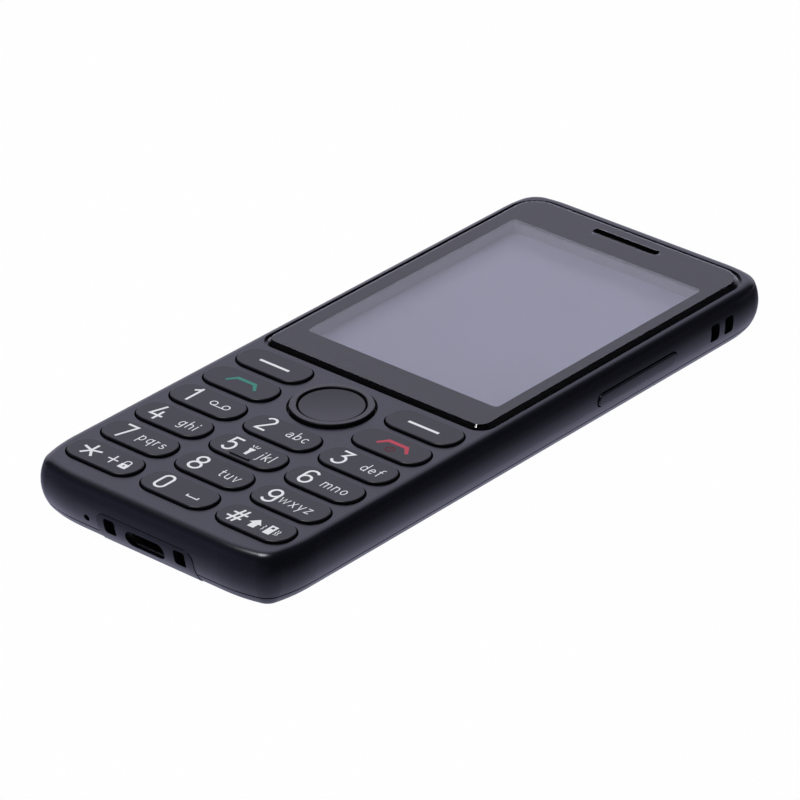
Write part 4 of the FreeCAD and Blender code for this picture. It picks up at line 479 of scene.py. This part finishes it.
# Lower-case letters: outer width, then centre lines, where the height of an x is 1.
bowl = arc(0.36, 0.5, 0.26, 0.40, 0, 360)
small_letters = {
    "a": (0.72, [line(arc(0.37, 0.66, 0.25, 0.24, 150, 0), (0.62, 0)),
                 line((0.62, 0.56), (0.40, 0.56), arc(0.34, 0.33, 0.24, 0.23, 100, 270),
                      (0.44, 0.10), (0.62, 0.26))]),
    "b": (0.72, [line((0.1, 1.5), (0.1, 0)), bowl]),
    "c": (0.66, [arc(0.36, 0.5, 0.26, 0.40, 42, 318)]),
    "d": (0.72, [line((0.62, 1.5), (0.62, 0)), bowl]),
    "e": (0.72, [line((0.12, 0.52), (0.62, 0.52), arc(0.36, 0.5, 0.26, 0.40, 5, 315))]),
    "f": (0.46, [line((0.47, 1.40), arc(0.40, 1.2, 0.19, 0.2, 90, 180), (0.21, 0)),
                 line((0.02, 0.93), (0.44, 0.93))]),
    "g": (0.72, [bowl, line((0.62, 1), (0.62, -0.12), arc(0.36, -0.12, 0.26, 0.24, 0, -140))]),
    "h": (0.72, [line((0.1, 1.5), (0.1, 0)),
                 line(arc(0.36, 0.62, 0.26, 0.28, 170, 0), (0.62, 0))]),
    "i": (0.2, [line((0.1, 1), (0.1, 0)), line((0.1, 1.24), (0.1, 1.46))]),
    "j": (0.34, [line((0.24, 1), (0.24, -0.16), arc(0.04, -0.16, 0.2, 0.2, 0, -80)),
                 line((0.24, 1.24), (0.24, 1.46))]),
    "k": (0.66, [line((0.1, 1.5), (0.1, 0)), line((0.58, 1), (0.1, 0.40)),
                 line((0.27, 0.62), (0.62, 0))]),
    "l": (0.2, [line((0.1, 1.5), (0.1, 0))]),
    "m": (1.10, [line((0.1, 1), (0.1, 0)),
                 line(arc(0.325, 0.66, 0.225, 0.24, 170, 0), (0.55, 0)),
                 line(arc(0.775, 0.66, 0.225, 0.24, 170, 0), (1.0, 0))]),
    "n": (0.72, [line((0.1, 1), (0.1, 0)),
                 line(arc(0.36, 0.62, 0.26, 0.28, 170, 0), (0.62, 0))]),
    "o": (0.72, [bowl]),
    "p": (0.72, [line((0.1, 1), (0.1, -0.42)), bowl]),
    "q": (0.72, [line((0.62, 1), (0.62, -0.42)), bowl]),
    "r": (0.46, [line((0.1, 1), (0.1, 0)), arc(0.36, 0.62, 0.26, 0.28, 170, 80)]),
    "s": (0.64, [line(arc(0.32, 0.71, 0.20, 0.19, 25, 270),
                      arc(0.32, 0.31, 0.22, 0.21, 90, -150))]),
    "t": (0.52, [line((0.22, 1.35), arc(0.42, 0.3, 0.2, 0.2, 180, 270), (0.50, 0.10)),
                 line((0.02, 0.93), (0.50, 0.93))]),
    "u": (0.72, [line((0.1, 1), arc(0.36, 0.38, 0.26, 0.28, 180, 350)),
                 line((0.62, 1), (0.62, 0))]),
    "v": (0.70, [line((0.06, 1), (0.35, 0.05), (0.64, 1))]),
    "w": (1.08, [line((0.06, 1), (0.29, 0.05), (0.54, 0.94), (0.79, 0.05), (1.02, 1))]),
    "x": (0.70, [line((0.07, 1), (0.63, 0)), line((0.63, 1), (0.07, 0))]),
    "y": (0.70, [line((0.06, 1), (0.36, 0.04)), line((0.65, 1), (0.20, -0.42))]),
    "z": (0.66, [line((0.08, 0.91), (0.56, 0.91), (0.10, 0.09), (0.60, 0.09))]),
}
# Figures: centre lines, where the height of a figure is 1.
figures = {
    "0": [line(arc(0.2725, 0.727, 0.2065, 0.207, 0, 180),
               arc(0.2725, 0.273, 0.2065, 0.207, 180, 360), (0.479, 0.727))],
    "1": [line((0.03, 0.74), (0.263, 0.915)), line((0.263, 1), (0.263, 0))],
    "2": [line(arc(0.2725, 0.73, 0.2065, 0.205, 160, -22), (0.09, 0.12), (0.075, 0.066),
               (0.51, 0.066))],
    "3": [line((0.06, 0.934), (0.50, 0.934), (0.25, 0.595),
               arc(0.275, 0.335, 0.238, 0.27, 72, -155))],
    "4": [line((0.30, 1.0), (0.075, 0.30), (0.64, 0.30)), line((0.43, 0.64), (0.43, 0))],
    "5": [line((0.49, 0.934), (0.125, 0.934), (0.10, 0.545),
               arc(0.27, 0.345, 0.213, 0.28, 128, -150))],
    "6": [line(arc(0.29, 0.73, 0.224, 0.205, 20, 180), (0.066, 0.31)),
          arc(0.29, 0.31, 0.224, 0.245, 0, 360)],
    "7": [line((0.02, 0.934), (0.49, 0.934), (0.20, 0))],
    "8": [arc(0.30, 0.735, 0.202, 0.205, 0, 360), arc(0.30, 0.285, 0.236, 0.225, 0, 360)],
    "9": [line(arc(0.29, 0.27, 0.224, 0.205, 200, 360), (0.514, 0.69)),
          arc(0.29, 0.69, 0.224, 0.245, 0, 360)],
}


def figure(name, left, foot):
    """A figure's strokes in millimetres from its key's middle, each with its half width."""
    return [(stroke * figure_height + (left, foot), figure_half) for stroke in figures[name]]


def small_word(letters, left, foot):
    """The strokes of a run of small letters, set side by side from a left edge."""
    strokes = []
    for letter in letters:
        width, lines = small_letters[letter]
        strokes += [(stroke * (small_spread, small_height) + (left, foot), small_half)
                    for stroke in lines]
        left += (width + small_gap) * small_spread
    return strokes


def bar(x0, y0, x1, y1, half):
    """One straight stroke."""
    return [(line((x0, y0), (x1, y1)), half)]


def stroke_solid(points, half_width, top, foot):
    """A closed bar of ink: at each point of the line a six-cornered section stands across
    the mitred direction, as wide as the half width says; open ends are capped flat."""
    loop = np.allclose(points[0], points[-1])
    if loop:
        points = points[:-1]
    width = np.broadcast_to(np.asarray(half_width, float), len(points))
    ahead = np.roll(points, -1, 0) - points
    ahead /= np.linalg.norm(ahead, axis=1, keepdims=True)
    behind = np.roll(ahead, 1, 0)
    if not loop:
        ahead[-1] = ahead[-2]
        behind[0] = ahead[0]
    along = ahead + behind
    along /= np.linalg.norm(along, axis=1, keepdims=True)
    mitre = width / np.maximum((along * ahead).sum(1), 0.5)
    side = np.stack([-along[:, 1], along[:, 0]], 1) * mitre[:, None]
    flat = points[:, None, :] + side[:, None, :] * ink_across[None, :, None]
    high = np.broadcast_to(foot + (top - foot) * ink_height, flat.shape[:2])
    vertices = np.concatenate([flat * millimetre, high[:, :, None]], 2).reshape(-1, 3)
    corners = len(ink_across)
    faces = skin(len(points), corners, loop)
    if not loop:
        last = (len(points) - 1) * corners
        faces += [list(range(corners)), list(range(last + corners - 1, last - 1, -1))]
    return vertices, faces


def print_on_key(key, marks, ink, name=None):
    """Prints strokes on a key's top: each is a solid, and they make one piece together. The
    top of the 5 is taken from the 2, because its own box goes up to its locator bar."""
    low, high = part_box(key)
    middle = ((low.x + high.x) / 2, (low.y + high.y) / 2)
    top = high.z if key != "key_5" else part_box("key_2")[1].z
    vertices, faces, count = [], [], 0
    for number, (points, half) in enumerate(marks):
        some, rings = stroke_solid(np.asarray(points, float), half,
                                   top + ink_proud + number * ink_step, top - ink_bedded)
        vertices.append(some + (middle[0], middle[1], 0))
        faces += [[corner + count for corner in ring] for ring in rings]
        count += len(some)
    link_piece(name or "print_" + key, np.vstack(vertices), faces, ink, key + "_body",
               "key_plastic")


def ink(name, colour):
    """Matt printing ink, a little uneven."""
    return grained(name, colour, 0.55, grain=0.00012, drift=0.12, specular=0.2)


white_ink = ink("white_ink", (0.92, 0.92, 0.95))
green_ink = ink("green_ink", (0.056, 0.26, 0.208))
red_ink = ink("red_ink", (0.55, 0.074, 0.111))
dark_red_ink = ink("dark_red_ink", (0.13, 0.004, 0.010))

# Soft keys, call and end keys with the power sign, then the keypad row by row. The signs are
# answering machine, torch, padlock, space, shift and silent mode.
for key, middle in (("key_soft_left", 0.22), ("key_soft_right", 0.03)):
    print_on_key(key, bar(middle - 3.45, -0.27, middle + 3.45, -0.27, 0.30), white_ink)
handset = line((-2.95, -0.95), (-1.55, 0.83), (2.45, 0.83), (3.85, -0.95))
print_on_key("key_call", [(handset, np.array([0.27, 0.38, 0.38, 0.27]))], green_ink)
print_on_key("key_end", [(handset + (0.13, 0.14), np.array([0.29, 0.42, 0.42, 0.29]))], red_ink)
print_on_key("key_end", [(arc(0.65, -1.22, 0.82, 0.82, 0, 360), 0.11)]
             + bar(0.65, -0.60, 0.65, -1.44, 0.11), dark_red_ink, "print_power_sign")
reels = [(arc(x, -0.01, 0.68, 0.68, 0, 360), 0.115) for x in (1.43, 4.28)]
print_on_key("key_1", figure("1", -4.53, -2.35) + reels
             + bar(1.43, -0.69, 4.28, -0.69, 0.115), white_ink)
print_on_key("key_2", figure("2", -5.26, -2.02) + small_word("abc", 0.97, -0.85), white_ink)
print_on_key("key_3", figure("3", -5.10, -2.52) + small_word("def", 0.99, -1.37), white_ink)
print_on_key("key_4", figure("4", -5.14, -2.48) + small_word("ghi", 1.55, -1.24), white_ink)
torch_head = [(line((0.21, 0.95), (0.21, 0.61), (0.21, 0.05), (0.21, -1.38)),
               np.array([0.62, 0.60, 0.37, 0.33]))]
torch_beams = bar(0.21, 1.42, 0.21, 2.20, 0.10) + bar(-0.17, 1.37, -0.55, 2.0, 0.10) \
    + bar(0.59, 1.37, 0.97, 2.0, 0.10)
print_on_key("key_5", figure("5", -5.20, -2.42) + torch_head + torch_beams
             + small_word("jkl", 2.48, -1.13), white_ink)
print_on_key("key_6", figure("6", -5.09, -2.53) + small_word("mno", -0.30, -1.28), white_ink)
print_on_key("key_7", figure("7", -4.74, -2.40) + small_word("pqrs", -0.10, -0.89), white_ink)
print_on_key("key_8", figure("8", -5.23, -2.36) + small_word("tuv", 1.37, -1.22), white_ink)
print_on_key("key_9", figure("9", -5.43, -2.65) + small_word("wxyz", -2.22, -1.25), white_ink)
star_arms = [stroke for turn in (90, 18, -54, -126, 162)
             for stroke in bar(-3.20, -0.09, -3.20 + 2.15 * math.cos(math.radians(turn)),
                               -0.09 + 2.05 * math.sin(math.radians(turn)), 0.25)]
plus = bar(0.72, 0.01, 3.02, 0.01, 0.16) + bar(1.87, 1.36, 1.87, -1.34, 0.16)
padlock = bar(4.29, 0.13, 4.29, -1.38, 0.36) + bar(5.33, 0.13, 5.33, -1.38, 0.36) \
    + bar(3.93, -0.07, 5.69, -0.07, 0.20) + bar(3.93, -1.10, 5.69, -1.10, 0.28) \
    + [(line((4.21, 0.06), arc(4.81, 0.66, 0.60, 0.60, 180, 0), (5.41, 0.06)), 0.12)]
print_on_key("key_star", star_arms + plus + padlock, white_ink)
print_on_key("key_0", figure("0", -5.07, -2.29)
             + [(line((2.35, -0.36), (2.35, -0.94), (4.75, -0.94), (4.75, -0.36)), 0.14)],
             white_ink)
hash_lines = bar(-4.62, -2.45, -3.98, 1.85, 0.24) + bar(-3.66, -2.45, -2.96, 1.85, 0.24) \
    + bar(-5.33, 0.38, -2.22, 0.38, 0.23) + bar(-5.66, -1.12, -2.52, -1.12, 0.23)
arrow = [(line((0.13, 1.06), (0.13, -0.45)), np.array([0.03, 1.32]))] \
    + bar(0.13, -0.41, 0.13, -1.80, 0.68)
shaken = bar(3.06, 0.97, 3.06, -1.87, 0.22) + bar(4.08, 0.97, 4.08, -1.87, 0.22) \
    + bar(2.84, 0.76, 4.30, 0.76, 0.19) + bar(3.57, -0.10, 3.57, -1.87, 0.72)
for x in (2.12, 4.90, 5.38):
    shaken += [(line((x - 0.1, 0.35), (x + 0.1, -0.08), (x - 0.1, -0.5), (x + 0.1, -0.92),
                     (x - 0.1, -1.35)), 0.08)]
print_on_key("key_hash", hash_lines + arrow + shaken, white_ink)

# ------------------------------------------------------------------ navigation ring and middle key
# The ring rocks on its carrier in four directions, round a dished middle key. Both are
# moulded in the keys' plastic, the ring with a smoother coat.

dress(grained("ring_satin", (0.0060, 0.0058, 0.0072), 0.27, specular=0.62), "nav_ring")
dress(grained("middle_key_soft_touch", key_black, 0.30, specular=0.41), "ok_key")
dress(grained("carrier_black", (0.006, 0.006, 0.007), 0.45, specular=0.3), "nav_carrier")

# ------------------------------------------------------------------ socket, contacts, microphone
# The socket's shell is drawn steel with a black nickel finish, round a black tongue with two
# rows of gold pads. Two black blocks sit behind the square windows, each with a gold pad.

pads_a_row, pad_pitch, pad_width, pad_length, pad_thickness = 12, 0.5, 0.26, 2.4, 0.02
pad_setback = 0.25                          # from the tongue's tip

dress(grained("shell_black_nickel", (0.42, 0.42, 0.38), 0.35, metallic=1.0), "usb_shell")
dress(grained("socket_black", (0.006, 0.006, 0.0055), 0.45, specular=0.3), "usb_tongue")
dress(grained("contact_black", (0.003, 0.003, 0.0028), 0.6, specular=0.12), "dock_contacts")
gold_plate = grained("gold_plate", (0.60, 0.40, 0.13), 0.3, metallic=1.0)


def thin_boxes(centres, sizes):
    """Upright boxes: eight corners at plus and minus half of each size about each centre."""
    corners = np.array([(x, y, z) for z in (-1, 1) for y in (-1, 1) for x in (-1, 1)]) / 2
    centres, sizes = np.atleast_2d(centres), np.broadcast_to(sizes, np.shape(centres))
    vertices = centres[:, None, :] + corners[None] * sizes[:, None, :]
    sides = np.array([(0, 2, 3, 1), (4, 5, 7, 6), (0, 1, 5, 4), (2, 6, 7, 3), (0, 4, 6, 2),
                      (1, 3, 7, 5)])
    faces = (sides[None] + 8 * np.arange(len(centres))[:, None, None]).reshape(-1, 4)
    return vertices.reshape(-1, 3) * millimetre, faces.tolist()


tongue_low, tongue_high = (np.array(corner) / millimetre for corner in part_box("usb_tongue"))
pad_x = (np.arange(pads_a_row) - (pads_a_row - 1) / 2) * pad_pitch
pad_y = tongue_low[1] + pad_setback + pad_length / 2
pad_centres = np.array([(x, pad_y, z) for z in (tongue_low[2], tongue_high[2]) for x in pad_x])
link_piece("socket_pads", *thin_boxes(pad_centres, (pad_width, pad_length, 2 * pad_thickness)),
           gold_plate, "phone", "contact_metal")
dress(grained("microphone_can", (0.10, 0.10, 0.10), 0.4, metallic=1.0), "microphone")

# ------------------------------------------------------------------ side switches
# A polyimide strip with two snap switches, glued to the frame behind the rocker.

polyimide = grained("polyimide_film", (0.42, 0.17, 0.03), 0.3, drift=0.3)
dress(polyimide, "side_switches", "antenna_flex")

# ------------------------------------------------------------------ camera, torch and loudspeaker
# Behind the cover: a fixed-focus camera under a glass window with a black printed rim, a clear
# light guide over the torch's diode, and the loudspeaker behind five slots.

guide_clear, guide_passes, guide_index = (0.93, 0.94, 0.92), (0.9, 0.9, 0.9), 1.49
guide_ripple, guide_frost = {"Scale": 1500.0}, {"To_Min": 0.05, "To_Max": 0.25}

dress(grained("camera_body", (0.010, 0.010, 0.011), 0.4), "camera_module")
dress(grained("speaker_black", (0.012, 0.012, 0.013), 0.5), "loudspeaker", "earpiece_receiver")
dress(clear_moulding("clear_guide", guide_clear, guide_passes, guide_index, guide_ripple,
                     guide_frost), "torch_light")
dress(lens, "camera_window")

# ------------------------------------------------------------------ mat, domes, board and frame
# A silicone mat and a film of snap domes lie on the circuit board. Six screws hold the board
# and the rear frame to the housing. Battery, card holder and shields show under the cover.

dress(grained("silicone_mat", (0.020, 0.020, 0.022), 0.55), "keypad_mat")
dress(grained("dome_film", (0.30, 0.31, 0.32), 0.3), "dome_sheet")
dress(grained("solder_mask", (0.010, 0.060, 0.028), 0.35, drift=0.3), "main_board")
dress(grained("frame_nylon", (0.018, 0.018, 0.020), 0.5, grain=0.0004, strength=0.3),
      "rear_frame")
dress(grained("screw_black_zinc", (0.16, 0.155, 0.15), 0.35, metallic=1.0), "frame_screws")
dress(grained("battery_wrap", (0.045, 0.047, 0.052), 0.4, drift=0.1), "battery")
dress(grained("contact_block", (0.008, 0.008, 0.009), 0.45), "battery_contacts")
dress(grained("tinned_steel", (0.55, 0.55, 0.54), 0.28, grain=0.0006, strength=0.2,
              metallic=1.0), "processor_shield", "radio_shield", "card_holder", "lcd_tray",
      "vibration_motor")
